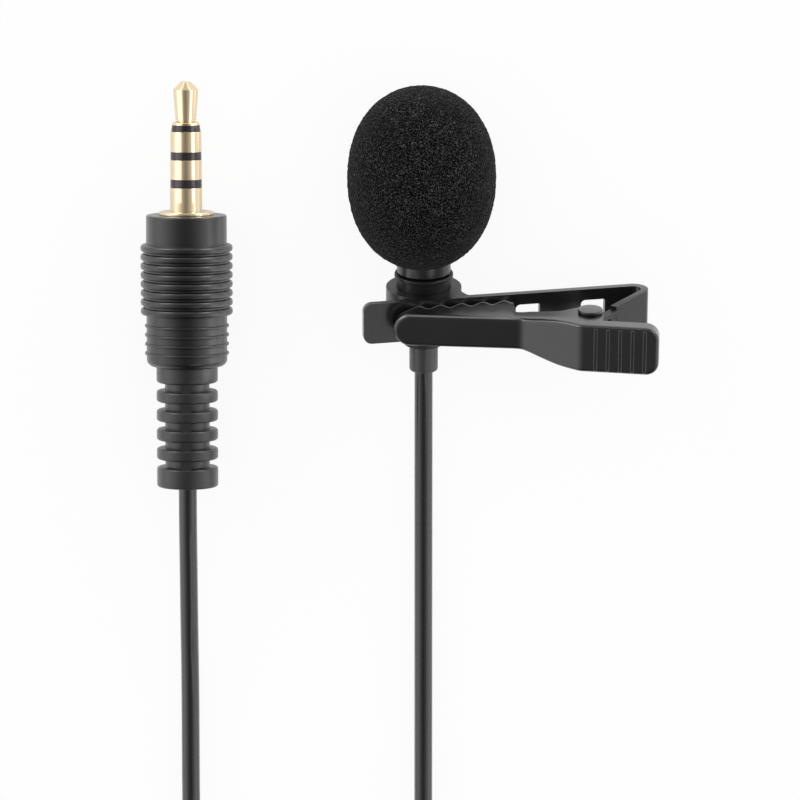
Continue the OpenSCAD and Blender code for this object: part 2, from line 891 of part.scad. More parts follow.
// A contact or an insulator: a band on the shaft and a tube that runs back from it
module plug_stage(r_in, r_tube, tail, low, high, r_low, r_high) {
  in_plug()
    rotate_extrude()
      polygon([
        [r_in + fixed_clear, -tail], [r_tube, -tail], [r_tube, low], [r_low, low],
        [r_high, high], [r_in + fixed_clear, high]
      ]);
}

module plug_insulator_front() {
  color("black")
    plug_stage(rod_r, tube_1_r, tail_first + 5 * tail_step, band_1[0], band_1[1], 1.62, 1.52);
}

module plug_ring_1() {
  color("gold")
    plug_stage(tube_1_r, tube_2_r, tail_first + 4 * tail_step, band_2[1], band_1[0], 1.71, 1.7);
}

module plug_insulator_middle() {
  color("black")
    plug_stage(tube_2_r, tube_3_r, tail_first + 3 * tail_step, band_2[0], band_2[1], 1.72, 1.71);
}

module plug_ring_2() {
  color("gold")
    plug_stage(tube_3_r, tube_4_r, tail_first + 2 * tail_step, band_3[1], band_2[0], 1.74, 1.72);
}

module plug_insulator_rear() {
  color("black")
    plug_stage(tube_4_r, tube_5_r, tail_first + tail_step, band_3[0], band_3[1], plug_r, 1.74);
}

module plug_sleeve() {
  color("gold")
    in_plug() {
      pipe(tube_5_r + fixed_clear, plug_r, 0, band_3[0]);
      pipe(tube_5_r + fixed_clear, tube_6_r, -tail_first, 0);
      intersection() {
        pipe(tube_5_r + fixed_clear, tube_6_r, -tail_first - lug_length, -tail_first + 0.2);
        translate([0, -0.8, -far])
          cube([far, 1.6, far]);
      }
    }
}

module plug_flange() {
  color("gold")
    in_plug()
      pipe(tube_6_r + fixed_clear, flange_r, -flange_thick, 0);
}

module plug_core() {
  color("dimgray")
    in_plug() {
      pipe(tube_6_r + fixed_clear, core_neck_r, -core_end, -flange_thick - fixed_clear);
      pipe(tube_6_r + fixed_clear, core_r, -core_end, -flange_thick - front_wall - fixed_clear);
    }
}

module plug_wires() {
  meet = -plug_cord_start + fixed_clear + wire_r / 2;
  color("firebrick")
    in_plug() {
      bar([tube_6_r + wire_r + 0.2, 0, -tail_first - lug_length + 0.6], [wire_x, 0, meet], wire_r);
      bar([-tube_4_r - wire_r - 0.26, 0, -tail_first - 1.2], [-wire_x, 0, meet], wire_r);
    }
}

module plug_grip() {
  color("black")
    in_plug()
      difference() {
        union() {
          rotate_extrude()
            polygon([
              [0, -flange_thick], [barrel_r - 0.15, -flange_thick], [barrel_r, -flange_thick - 0.15],
              [barrel_r, -collar_end], [grip_r - grip_depth, -collar_end],
              [grip_r - grip_depth, -rings_end], [barrel_r, -rings_end],
              [barrel_r, -barrel_end + barrel_round],
              for (a = [15 : 15 : 90])
                [
                  barrel_r - barrel_round + barrel_round * cos(a),
                  -barrel_end + barrel_round - barrel_round * sin(a)
                ],
              [0, -barrel_end]
            ]);
          for (i = [0 : grip_count - 1])
            translate([0, 0, -collar_end - (i + 0.5) * grip_pitch])
              grip_ring();
          for (i = [0 : barrel_ribs - 1])
            translate([0, 0, -rings_end - 1.12 - i * 1.01])
              rotate_extrude()
                polygon([
                  [0, -rib_r - 0.1], [barrel_r, -rib_r - 0.1], [barrel_r + rib_rise, -rib_r + 0.05],
                  [barrel_r + rib_rise, rib_r - 0.05], [barrel_r, rib_r + 0.1], [0, rib_r + 0.1]
                ]);
        }
        translate([0, 0, -barrel_end + boot_neck])
          cylinder(r = shell_r, h = barrel_end - boot_neck - flange_thick - front_wall);
        translate([0, 0, -far])
          cylinder(r = boot_neck_r + fixed_clear, h = far - barrel_end + boot_neck + 1);
        translate([0, 0, -flange_thick - front_wall - 1])
          cylinder(r = core_neck_r + fixed_clear, h = far);
      }
}

// One grip ring: flat in the middle and rounded at both edges
module grip_ring() {
  half = grip_pitch / 2;
  rotate_extrude()
    polygon([
      [0, -half], [grip_r - grip_depth, -half], [grip_r - 0.06, -half + 0.14],
      [grip_r, -half + 0.3], [grip_r, half - 0.3], [grip_r - 0.06, half - 0.14],
      [grip_r - grip_depth, half], [0, half]
    ]);
}

module boot_gap(i) {
  mid = -barrel_end - boot_collar - 0.42 - i * disc_pitch;
  difference() {
    pipe(boot_core_r, far, mid - disc_gap / 2, mid + disc_gap / 2);
    translate([-web_width / 2, -far, -far])
      cube([web_width, 2 * far, 2 * far]);
  }
}

module plug_strain_relief() {
  color("black")
    in_plug()
      difference() {
        union() {
          translate([0, 0, -boot_end])
            cylinder(r1 = boot_r - 0.2, r2 = boot_r, h = 0.2);
          translate([0, 0, -boot_end + 0.2])
            cylinder(r = boot_r, h = boot_end - 0.2 - barrel_end - fixed_clear);
          translate([0, 0, -barrel_end - 0.1])
            cylinder(r = boot_neck_r, h = boot_neck + 0.1 + boot_lip);
          translate([0, 0, -barrel_end + boot_neck + fixed_clear])
            cylinder(r = shell_r - fixed_clear, h = boot_lip - fixed_clear);
        }
        for (i = [0 : disc_count - 1])
          boot_gap(i);
        translate([0, 0, -far])
          cylinder(r = cord_r + fixed_clear, h = 2 * far);
      }
}

module plug_cord_end() {
  color("black")
    in_plug()
      translate([0, 0, -boot_end])
        cylinder(r = cord_r, h = boot_end - plug_cord_start);
}

// Cord
module cord_mic_side() {
  color("black")
    tube(mic_route, cord_r, 8);
}

module cord_coil() {
  color("black")
    tube(coil_line, cord_r, 6);
}

module cord_plug_side() {
  color("black")
    tube(plug_route, cord_r, 8);
}

module cord_tie() {
  in_r = coil_r - coil_pitch * leg_turns - cord_r - 0.6;
  out_r = coil_r + cord_r + 0.2;
  high = coil_base + 3 * coil_pitch + cord_r + 0.15;
  color("dimgray")
    translate([coil_x - tie_width / 2, coil_y, 0])
      difference() {
        translate([0, -out_r - tie_thick, 0])
          cube([tie_width, out_r - in_r + 2 * tie_thick, high + tie_thick]);
        translate([-1, -out_r, tie_thick])
          cube([tie_width + 2, out_r - in_r, high - tie_thick]);
      }
}

windscreen();
mic_housing();
mic_grille();
grille_felt();
capsule_seal();
capsule_can();
capsule_diaphragm();
capsule_backplate();
capsule_board();
mic_wires();
mic_stem();
mic_strain_relief();
mic_cord_end();
holder_bush();
holder_ring();
holder_rivet();
clip_back_plate();
clip_lever();
pivot_pin();
torsion_spring();
plug_tip();
plug_ring_1();
plug_ring_2();
plug_sleeve();
plug_insulator_front();
plug_insulator_middle();
plug_insulator_rear();
plug_flange();
plug_core();
plug_wires();
plug_grip();
plug_strain_relief();
plug_cord_end();
cord_mic_side();
cord_coil();
cord_plug_side();
cord_tie();
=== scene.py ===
# %% [markdown]
# # A clip-on lavalier microphone
# This lesson dresses a CAD model of a small microphone: a foam windscreen on a metal head, a
# spring clip that turns on the stem, and a cord that ends in a four-pole plug. The CAD frame
# is loaded first, because each piece made here rides on one of its bodies.

# %% Load the frame
import math
import bmesh
import bpy
import numpy as np
from mathutils import Matrix, Vector


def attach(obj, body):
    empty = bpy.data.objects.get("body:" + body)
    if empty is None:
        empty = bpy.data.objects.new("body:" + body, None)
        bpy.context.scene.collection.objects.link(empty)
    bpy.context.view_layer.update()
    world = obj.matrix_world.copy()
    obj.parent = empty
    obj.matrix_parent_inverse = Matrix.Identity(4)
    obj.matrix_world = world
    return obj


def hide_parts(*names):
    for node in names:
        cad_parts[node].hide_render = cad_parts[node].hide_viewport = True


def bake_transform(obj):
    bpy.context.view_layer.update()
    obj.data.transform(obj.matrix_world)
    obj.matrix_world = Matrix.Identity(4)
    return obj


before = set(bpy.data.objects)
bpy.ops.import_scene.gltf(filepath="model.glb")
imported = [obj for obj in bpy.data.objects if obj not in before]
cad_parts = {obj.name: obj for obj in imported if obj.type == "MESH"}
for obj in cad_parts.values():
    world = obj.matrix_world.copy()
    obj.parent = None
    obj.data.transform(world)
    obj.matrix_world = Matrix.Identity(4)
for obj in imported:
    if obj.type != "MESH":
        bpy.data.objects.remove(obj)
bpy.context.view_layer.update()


def put(name, data):
    """A new object with this data, in the scene."""
    made = bpy.data.objects.new(name, data)
    bpy.context.scene.collection.objects.link(made)
    return made


# %% [markdown]
# The pieces are drawn in millimetres, each about its own axis, and a matrix takes them to
# their place in metres. The microphone lies with its windscreen up, the clip is turned a
# little about it, the lever hangs on the clip's pivot, and the plug lies beside them. The
# clip is drawn mirrored, so its matrix turns shapes inside out, and its faces are flipped
# back when a mesh is placed.

# %% Places of the parts
MIC = Vector((-8.4, 6.0, 8.34827))
LIE, YAW, JAW = 15.0, 11.2, 16.2
CLIP_MID, PIVOT_ALONG, PIVOT_OUT = 14.65, 15.7, 12.84
PLUG = Vector((-34.4, 2.1, 5.05))


def turn(degrees, axis):
    """A turn about one of the axes X, Y and Z."""
    return Matrix.Rotation(math.radians(degrees), 4, axis)


def cos_sin(degrees):
    """The cosine and the sine of an angle."""
    return math.cos(math.radians(degrees)), math.sin(math.radians(degrees))


METRES = Matrix.Diagonal((0.001, 0.001, 0.001, 1))
IN_MIC = METRES @ Matrix.Translation(MIC) @ turn(LIE - 90, "X")
IN_CLIP = (IN_MIC @ turn(YAW, "Z") @ Matrix.Diagonal((1, -1, 1, 1))
           @ Matrix.Translation((0, 0, -CLIP_MID)))
AT_PIVOT = IN_CLIP @ Matrix.Translation((PIVOT_ALONG, PIVOT_OUT, 0))
ON_LEVER = AT_PIVOT @ turn(JAW, "Z")
IN_PLUG = METRES @ Matrix.Translation(PLUG) @ turn(-90, "X")
print("pivot at", [round(1000 * x, 2) for x in AT_PIVOT.translation])

# %% [markdown]
# The camera looks almost straight down on the table through a long lens, so that round
# pieces keep their outline. Its tilt of a few degrees shows the upper side of the rings on
# the plug and of the clip's sheet. The sensor's width is the picture's width.

# %% Camera
TILT, DISTANCE = math.radians(6.9), 0.527
AIM = Vector((-0.011007, -0.01931, 0))
SENSOR, PICTURE, FOCAL = 36, 800, 4745  # millimetres, then two lengths in pixels
camera_data = bpy.data.cameras.new("camera")
camera_data.sensor_fit, camera_data.sensor_width = "HORIZONTAL", SENSOR
camera_data.lens = SENSOR * FOCAL / PICTURE
camera_data.clip_start, camera_data.clip_end = 0.01, 20
camera = put("camera", camera_data)
camera.location = AIM + DISTANCE * Vector((0, math.sin(TILT), math.cos(TILT)))
camera.rotation_euler = (-TILT, 0, 0)
bpy.context.scene.camera = camera
print("camera at", [round(x, 3) for x in camera.location])

# %% [markdown]
# The cord is one length of jacketed cable, two millimetres thick. It leaves the sleeve under
# the microphone, comes down to the table, is wound into a coil that a band holds, and goes
# back up to the plug. The leads run through a few set points with a smooth curve between
# them, and the coil's points come from a rule: the radius falls and rises at a steady rate
# and each layer climbs in half a turn.

# %% Route of the cord
CORD, SLEEVE_END, BOOT_END = 2.0, 22.35, 30.37
COIL_X, COIL_Y, COIL_R, PITCH, TURNS, LAYERS = -21.4, -89.0, 17.6, 2.45, 18.5, 4
COIL_BASE, COIL_STEPS = 1.55, 1332
coil_in = Vector((COIL_X + COIL_R, COIL_Y, COIL_BASE))
coil_out = Vector((COIL_X - COIL_R, COIL_Y, COIL_BASE + (LAYERS - 1) * PITCH))
along = Vector((0, *cos_sin(LIE)))
mic_exit = MIC - SLEEVE_END * along
plug_exit = Vector((PLUG.x, PLUG.y - BOOT_END, PLUG.z))


def join(a, b, steps=8):
    """Points of an S-shaped way from a to b."""
    def eased(u):
        return u * u * (3 - 2 * u)
    return [Vector((a.x + (b.x - a.x) * eased(i / steps), a.y + (b.y - a.y) * i / steps,
                    a.z + (b.z - a.z) * eased(i / steps))) for i in range(steps + 1)]


def coil_point(t):
    """The cord's middle after t turns of the coil."""
    leg = TURNS / LAYERS
    m = t / leg
    k = int(m // 2) * 2
    radius = COIL_R - PITCH * leg * (m - k if m - k < 1 else 2 - (m - k))
    climbs = sum(min(1, max(0, (t - n * leg) / 0.5 + 0.5)) for n in range(1, LAYERS))
    c, s = cos_sin(-360 * t)
    return Vector((COIL_X + radius * c, COIL_Y + radius * s, COIL_BASE + PITCH * climbs))


def smooth_way(points, step=1.0):
    """A Catmull-Rom curve through the points, cut into short steps."""
    ends = [2 * points[0] - points[1], *points, 2 * points[-1] - points[-2]]
    way = []
    for a, b, c, d in zip(ends, ends[1:], ends[2:], ends[3:]):
        count = max(1, round((c - b).length / step))
        for i in range(count):
            u = i / count
            way.append(0.5 * (2 * b + (c - a) * u + (2 * a - 5 * b + 4 * c - d) * u * u
                              + (3 * b - a - 3 * c + d) * u ** 3))
    return way + [points[-1]]


mic_lead = [mic_exit, mic_exit - 2 * along]
mic_lead += [Vector((MIC.x, y, z)) for y, z in (
    (-22, 1.35), (-26, 1.05), (-31, 1), (-36, 1), (-41, 1), (-46, 1), (-51, 1), (-56, 1),
    (-61, 1), (-65, 1))]
mic_lead += join(Vector((MIC.x, -68, 1)), coil_in + Vector((0, 4, 0)))
mic_lead += [coil_in + Vector((0, 2, 0))]
plug_lead = [plug_exit - Vector((0, y, z)) for y, z in ((0, 0), (2, 0), (5, 0.2), (8, 0.8))]
plug_lead += [Vector((PLUG.x, y, z)) for y, z in (
    (-44, 2.9), (-48, 1.9), (-52, 1.35), (-56, 1.2), (-61, 1.2))]
plug_lead += join(Vector((PLUG.x, -65, 1.3)), coil_out + Vector((0, 8, 0)))
plug_lead += [coil_out + Vector((0, 2, 0))]
turns = [coil_point(TURNS * i / COIL_STEPS) for i in range(COIL_STEPS + 1)]
route = smooth_way(mic_lead) + turns + smooth_way(plug_lead)[::-1]

# %% [markdown]
# The jacket is a round tube along that line. A ring of points stands square to the line at
# each step and neighbouring rings are joined. A bevelled curve would be as round, but the
# tube can carry each point's place across and along the cord, which a finish needs for marks
# that run along it.

# %% Cord
def swept(name, line, radius, sides):
    """A round tube along a line of points.

    Its attribute "on_cord" is each point's place across and along the tube, in metres.
    """
    line = np.array([tuple(p) for p in line])
    ahead = np.gradient(line, axis=0)
    ahead /= np.linalg.norm(ahead, axis=1)[:, None]
    aside = np.cross(ahead, (0, 0, 1))
    aside /= np.linalg.norm(aside, axis=1)[:, None]
    above = np.cross(aside, ahead)
    round_it = np.linspace(0, math.tau, sides, endpoint=False)
    circle = np.stack([np.cos(round_it), np.sin(round_it)], 1) * radius
    tube = line[:, None] + circle[:, :1] * aside[:, None] + circle[:, 1:] * above[:, None]
    walls = []
    for row in range(0, (len(line) - 1) * sides, sides):
        for k in range(sides):
            after = (k + 1) % sides
            walls.append((row + k, row + after, row + sides + after, row + sides + k))
    ends = [tuple(range(sides)), tuple(range((len(line) - 1) * sides, len(line) * sides))]
    mesh = bpy.data.meshes.new(name)
    mesh.from_pydata(tube.reshape(-1, 3), [], walls + ends)
    travelled = np.concatenate([[0], np.cumsum(np.linalg.norm(np.diff(line, axis=0), axis=1))])
    places = np.empty((len(line), sides, 3))
    places[..., :2], places[..., 2] = circle, travelled[:, None]
    marks = mesh.attributes.new("on_cord", "FLOAT_VECTOR", "POINT")
    marks.data.foreach_set("vector", places.ravel() / 1000)
    bm = bmesh.new()
    bm.from_mesh(mesh)
    bmesh.ops.recalc_face_normals(bm, faces=bm.faces)
    bm.to_mesh(mesh)
    bm.free()
    return mesh


cord_mesh = swept("cord", route, CORD / 2, 16)
cord_mesh.transform(METRES)
cord_mesh.shade_smooth()
cord_mesh.set_sharp_from_angle(angle=math.radians(60))
cord = put("cord", cord_mesh)
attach(cord, "microphone")
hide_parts("cord_mic_side", "cord_coil", "cord_plug_side")
print("cord tube:", len(cord_mesh.polygons), "faces")

# %% [markdown]
# Finishes are built from nodes. Written out link by link, the sums would hide what they are
# for, so two small classes carry them. Value wraps a socket, and its operators add Math
# nodes, so that 1 - mask is written as it reads. Maker holds a tree and adds any node to it.

# %% Node helpers
def operator(kind, swapped=False):
    """A method that adds a Math node of a kind."""
    def method(self, other):
        a, b = (other, self) if swapped else (self, other)
        return self.maker.node("ShaderNodeMath", {0: a, 1: b}, operation=kind)
    return method


class Value:
    """A socket that can be used in a sum."""
    __add__ = __radd__ = operator("ADD")
    __mul__ = __rmul__ = operator("MULTIPLY")
    __sub__, __rsub__ = operator("SUBTRACT"), operator("SUBTRACT", True)
    __truediv__, __rtruediv__ = operator("DIVIDE"), operator("DIVIDE", True)
    larger = operator("MAXIMUM")

    def __init__(self, maker, socket):
        self.maker, self.socket = maker, socket

    def __getitem__(self, name):
        return Value(self.maker, self.socket.node.outputs[name])


class Maker:
    """One node tree and the way to add nodes to it."""

    def __init__(self, tree):
        self.tree = tree

    def node(self, kind, sockets=None, **settings):
        """Adds a node, sets its settings and then fills its sockets."""
        made = self.tree.nodes.new(kind)
        for name, value in settings.items():
            setattr(made, name, value)
        for name, value in (sockets or {}).items():
            if isinstance(value, Value):
                self.tree.links.new(value.socket, made.inputs[name])
            else:
                made.inputs[name].default_value = value
        return Value(self, made.outputs[0]) if made.outputs else made

    def place(self):
        """Where a point lies on its own object, in metres."""
        return self.node("ShaderNodeTexCoord")["Object"]

    def marked(self, name, output="Fac"):
        """A number or vector that the mesh carries under a name."""
        return self.node("ShaderNodeAttribute", attribute_name=name)[output]

    def noise(self, size, detail=2.0, rough=0.5, at=None, squash=None):
        """Soft random values whose features are about size metres across."""
        at = at or self.place()
        if squash:
            at = self.node("ShaderNodeMapping", {"Vector": at, "Scale": squash})
        return self.node("ShaderNodeTexNoise", {
            "Vector": at, "Scale": 1 / size, "Detail": detail, "Roughness": rough})

    def spread(self, value, low, high, to_low=0.0, to_high=1.0):
        """Stretches the values from low to high over a new range, softly at both ends."""
        return self.node("ShaderNodeMapRange", {
            "Value": value, "From Min": low, "From Max": high, "To Min": to_low,
            "To Max": to_high}, interpolation_type="SMOOTHSTEP")

    def tint(self, share, a, b):
        """Colour a with a share of colour b."""
        return self.node("ShaderNodeMix", {0: share, 6: a, 7: b}, data_type="RGBA")[2]

    def bump(self, height, strength, depth):
        """A surface that seems raised by up to depth metres."""
        return self.node("ShaderNodeBump", {
            "Height": height, "Strength": strength, "Distance": depth})


def grey(level):
    return (level, level, level, 1)


def paint(mesh, material):
    """Gives a mesh one material in place of those it has."""
    mesh.materials.clear()
    mesh.materials.append(material)


def emptied(owner):
    """The maker of a material's or world's node tree, with no nodes in it yet."""
    owner.use_nodes = True
    owner.node_tree.nodes.clear()
    return Maker(owner.node_tree)


def finish(name, look):
    """A material whose look(maker) gives the Principled shader's sockets."""
    made = bpy.data.materials.new(name)
    maker = emptied(made)
    shader = maker.node("ShaderNodeBsdfPrincipled", look(maker))
    maker.node("ShaderNodeOutputMaterial", {"Surface": shader})
    made.diffuse_color = (0.1, 0.1, 0.1, 1)
    print("finish:", name, len(made.node_tree.nodes), "nodes")
    return made


# %% [markdown]
# Black is never one black. The moulded grip and strain relief are satin plastic with a fine
# grain from the tool that shaped them; the clip is bent steel under a thin black enamel, a
# little glossier and faintly uneven like orange peel; the cord's jacket is softer and has
# long drawing marks. Each look is a dark base with a slow mottling, a roughness that
# wanders, and a bump at the scale of the real grain. The clip's enamel is thin and matt where
# the sheet was bent into flanges, and rubbed off on the teeth, where the pale steel is partly
# real wear and partly a painted highlight line. On one side of the jaw's upper bend the pale
# steel is only a painted highlight. Two attributes on its meshes say where it is matt and
# where it is pale.

# %% Black finishes
def moulded(base, rough, grain, depth):
    """Satin black plastic or rubber with a moulded grain."""
    def look(m):
        mottle = m.noise(0.004, 3)
        fine = m.noise(grain, 3, 0.6)
        worn = m.spread(m.noise(0.0011, 4, 0.65), 0.55, 0.8)
        return {
            "Base Color": m.tint(mottle * 0.6 + fine * 0.4, grey(base * 0.7), grey(base * 1.35)),
            "Roughness": mottle * 0.06 + fine * 0.08 + worn * 0.05 + (rough - 0.08),
            "Normal": m.bump(fine, 0.25, depth), "Coat Weight": 0.8, "Coat Roughness": 0.28,
        }
    return look


def enamel(base, rough, peel):
    """Thin black enamel over steel."""
    def look(m):
        slow = m.noise(0.003, 2)
        skin = m.noise(peel, 2, 0.4)
        dust = m.spread(m.noise(0.00035, 5, 0.7), 0.62, 0.74)
        return {
            "Base Color": m.tint(slow * 0.7 + dust * 0.3, grey(base * 0.8), grey(base * 1.5)),
            "Roughness": slow * 0.08 + dust * 0.1 + (rough - 0.05),
            "Normal": m.bump(skin, 0.2, 0.00002),
            "Coat Weight": 1.0, "Coat Roughness": 0.2,
        }
    return look


def clip_enamel(m):
    """The clip's enamel: matt where its mesh says so, and pale steel where the teeth are worn and
    where a highlight is painted.
    """
    look = enamel(0.006, 0.30, 0.0005)(m)
    matt, wear_and_highlight = m.marked("matt"), m.marked("wear_and_highlight")
    look["Coat Weight"] = 1 - matt * 0.95
    look["Roughness"] = look["Roughness"] + matt * 0.1
    # Pale steel where the teeth are worn, which also serves as a painted highlight line, and a
    # painted highlight on the jaw's upper bend.
    look["Base Color"] = m.tint(wear_and_highlight, look["Base Color"], grey(0.65))
    look["Metallic"] = wear_and_highlight * 0.9
    return look


def jacket(m):
    """The cord's soft jacket with long drawing marks."""
    streak = m.noise(0.0004, 3, 0.6, at=m.marked("on_cord", "Vector"), squash=(1, 1, 0.05))
    fine = m.noise(0.00012, 3)
    grain = streak * 0.5 + fine * 0.5
    return {
        "Base Color": m.tint(grain, grey(0.003), grey(0.008)),
        "Roughness": streak * 0.1 + fine * 0.06 + 0.2,
        "Normal": m.bump(grain, 0.12, 0.00002),
        "Coat Weight": 1.0, "Coat Roughness": 0.16,
    }


grip_black = finish("grip_black", moulded(0.002, 0.34, 0.00012, 0.00002))
boot_rubber = finish("boot_rubber", moulded(0.012, 0.36, 0.00015, 0.00003))
sleeve_rubber = finish("sleeve_rubber", moulded(0.034, 0.40, 0.00014, 0.00002))
holder_black = finish("holder_black", moulded(0.004, 0.34, 0.00016, 0.00002))
clip_black = finish("clip_black", clip_enamel)
pin_black = finish("pin_black", enamel(0.010, 0.38, 0.0004))
head_black = finish("head_black", enamel(0.006, 0.34, 0.0003))
cord_jacket = finish("cord_jacket", jacket)
paint(cord_mesh, cord_jacket)

# %% [markdown]
# The windscreen is open-cell foam: a web of thin dark strands round small pores. Seen close
# by, the strands catch light and the pores stay black, which gives its grain; that light and
# shade is painted into the colour, the strands lighter as painted light and the pores black
# as painted shade. Cells come from a Voronoi texture whose edges are the strands, bent by a
# little noise so that no two pores look alike, and the same mask raises the surface.

# %% Foam finish
def foam_look(m):
    """Open cells with painted light on their strands and painted shade in their pores."""
    at = m.place()
    bent = m.node("ShaderNodeVectorMath", {
        0: m.noise(0.0004, 2, at=at)["Color"], 1: (0.00022,) * 3, 2: at}, operation="MULTIPLY_ADD")
    edge = m.node("ShaderNodeTexVoronoi", {"Vector": bent, "Scale": 1 / 0.0003},
                  feature="DISTANCE_TO_EDGE")
    strand = 1 - m.spread(edge, 0.02, 0.26)
    grain = m.noise(0.00015, 4, 0.7, at=at)
    cloud = m.noise(0.0016, 3, 0.6, at=at)
    # Painted light and shade: strands lighter as if lit, pores black as shade, with a random cloud.
    light = strand * m.spread(grain, 0.46, 0.68) + m.spread(grain, 0.60, 0.8) * 0.4
    level = light * (cloud * 0.9 + 0.35)
    return {
        "Base Color": m.tint(level, grey(0.001), grey(0.128)),
        "Roughness": 0.95, "Specular IOR Level": 0.06,
        "Normal": m.bump(strand * 0.6 + grain * 0.6, 0.7, 0.00012),
        "Sheen Weight": 0.05, "Sheen Roughness": 0.45,
    }


foam_black = finish("foam_black", foam_look)

# %% [markdown]
# The plug's contacts are turned brass under a pale gold plating. The lathe leaves very fine
# rings round the axis, so the noise is squashed until it only changes along the plug. The
# insulating bands between them are a hard, glossy resin, nearly black. The pieces inside
# the head and the plug get one modest look each, a mottled colour with a fine grain.

# %% Metal and small finishes
def plated(colour_a, colour_b, rough):
    """Turned brass under plating."""
    def look(m):
        rings = m.noise(0.00006, 3, 0.6, squash=(0.01, 1, 0.01))
        film = m.noise(0.0018, 3)
        return {
            "Base Color": m.tint(film, colour_a, colour_b), "Metallic": 1.0,
            "Roughness": rings * 0.08 + film * 0.05 + (rough - 0.05),
            "Normal": m.bump(rings, 0.06, 0.00001),
        }
    return look


def resin(m):
    """Hard, glossy resin, nearly black."""
    fine = m.noise(0.0002, 3, 0.6)
    return {
        "Base Color": m.tint(fine, (0.010, 0.006, 0.007, 1), (0.018, 0.012, 0.013, 1)),
        "Roughness": fine * 0.08 + 0.08, "Specular IOR Level": 0.75,
        "Normal": m.bump(fine, 0.1, 0.00001),
    }


def plain(colour, rough, metal=0.0):
    """A modest finish for pieces that hide inside: a mottled colour and a fine grain."""
    def look(m):
        fine = m.noise(0.0003, 3, 0.6)
        dark = tuple(c * 0.75 for c in colour) + (1,)
        pale = tuple(min(1, c * 1.25) for c in colour) + (1,)
        return {
            "Base Color": m.tint(fine, dark, pale), "Metallic": metal,
            "Roughness": fine * 0.12 + (rough - 0.06), "Normal": m.bump(fine, 0.15, 0.00002),
        }
    return look


contact_gold = finish("contact_gold", plated((0.93, 0.74, 0.47, 1), (0.96, 0.79, 0.55, 1), 0.10))
insulator = finish("insulator", resin)
OTHERS = {
    "grille_steel": ((0.55, 0.55, 0.56), 0.35, 1.0),
    "felt": ((0.02, 0.02, 0.022), 0.95),
    "seal_rubber": ((0.025, 0.025, 0.025), 0.6),
    "capsule_aluminium": ((0.75, 0.76, 0.77), 0.3, 1.0),
    "diaphragm_film": ((0.8, 0.62, 0.3), 0.25, 1.0),
    "backplate_brass": ((0.72, 0.55, 0.25), 0.3, 1.0),
    "board": ((0.03, 0.17, 0.07), 0.4),
    "wire_insulation": ((0.45, 0.03, 0.025), 0.4),
    "stem_black": ((0.02, 0.02, 0.02), 0.4),
    "bush_plastic": ((0.007, 0.007, 0.007), 0.34),
    "rivet_steel": ((0.35, 0.35, 0.36), 0.35, 1.0),
    "spring_steel": ((0.4, 0.4, 0.41), 0.3, 1.0),
    "core_plastic": ((0.05, 0.05, 0.052), 0.5),
    "tie_strap": ((0.02, 0.02, 0.021), 0.55),
}
finishes = {name: finish(name, plain(*values)) for name, values in OTHERS.items()}

# %% [markdown]
# Most of the small pieces are lathe work or moulded round an axis, so two helpers make them.
# rounded() puts a small arc on each corner of a drawn profile, because a real edge is never
# knife sharp and the arc is what catches the light. turned() spins such a profile about an
# axis, as a lathe does.

# %% Profile and lathe
NEARLY_STRAIGHT, LARGEST_SHARE = 3.1, 0.49


def rounded(corners, steps=5):
    """Points of a closed profile; a corner (x, y, radius) gets an arc and (x, y) stays sharp."""
    points = []
    for i, (x, y, *arc) in enumerate(corners):
        here = Vector((x, y))
        before = Vector(corners[i - 1][:2]) - here
        after = Vector(corners[(i + 1) % len(corners)][:2]) - here
        angle = before.angle(after)
        if not arc or angle > NEARLY_STRAIGHT:
            points.append((x, y))
            continue
        reach = min(arc[0] / math.tan(angle / 2),
                    LARGEST_SHARE * before.length, LARGEST_SHARE * after.length)
        radius = reach * math.tan(angle / 2)
        before.normalize()
        after.normalize()
        middle = here + (before + after).normalized() * radius / math.sin(angle / 2)
        start, end = here + before * reach - middle, here + after * reach - middle
        sweep = start.angle_signed(end)
        for k in range(steps + 1):
            a = -sweep * k / steps
            points.append((middle.x + start.x * math.cos(a) - start.y * math.sin(a),
                           middle.y + start.x * math.sin(a) + start.y * math.cos(a)))
    return points


def new_mesh(bm, name):
    """The finished mesh of a bmesh, which is freed."""
    made = bpy.data.meshes.new(name)
    bm.to_mesh(made)
    bm.free()
    return made


def turned(profile, steps=96):
    """A mesh from a closed profile of (radius, height) points spun about Z."""
    bm = bmesh.new()
    rows = []
    for r, z in profile:
        angles = [math.tau * k / steps for k in range(1 if r < 1e-6 else steps)]
        rows.append([bm.verts.new((r * math.cos(a), r * math.sin(a), z)) for a in angles])
    for a, b in zip(rows, rows[1:] + rows[:1]):
        for k in range(steps):
            ring = [a[k % len(a)], a[(k + 1) % len(a)], b[(k + 1) % len(b)], b[k % len(b)]]
            corners = list(dict.fromkeys(ring))
            if len(corners) > 2:
                bm.faces.new(corners)
    bmesh.ops.recalc_face_normals(bm, faces=bm.faces)
    return new_mesh(bm, "turned")


# %% [markdown]
# A piece may be joined from several meshes drawn in millimetres. piece() takes them to their
# place, gives them a finish and a body to ride on, and hides the CAD node that they stand
# for. Normals are weighted by face size, so that the flat beside a bevel stays flat.

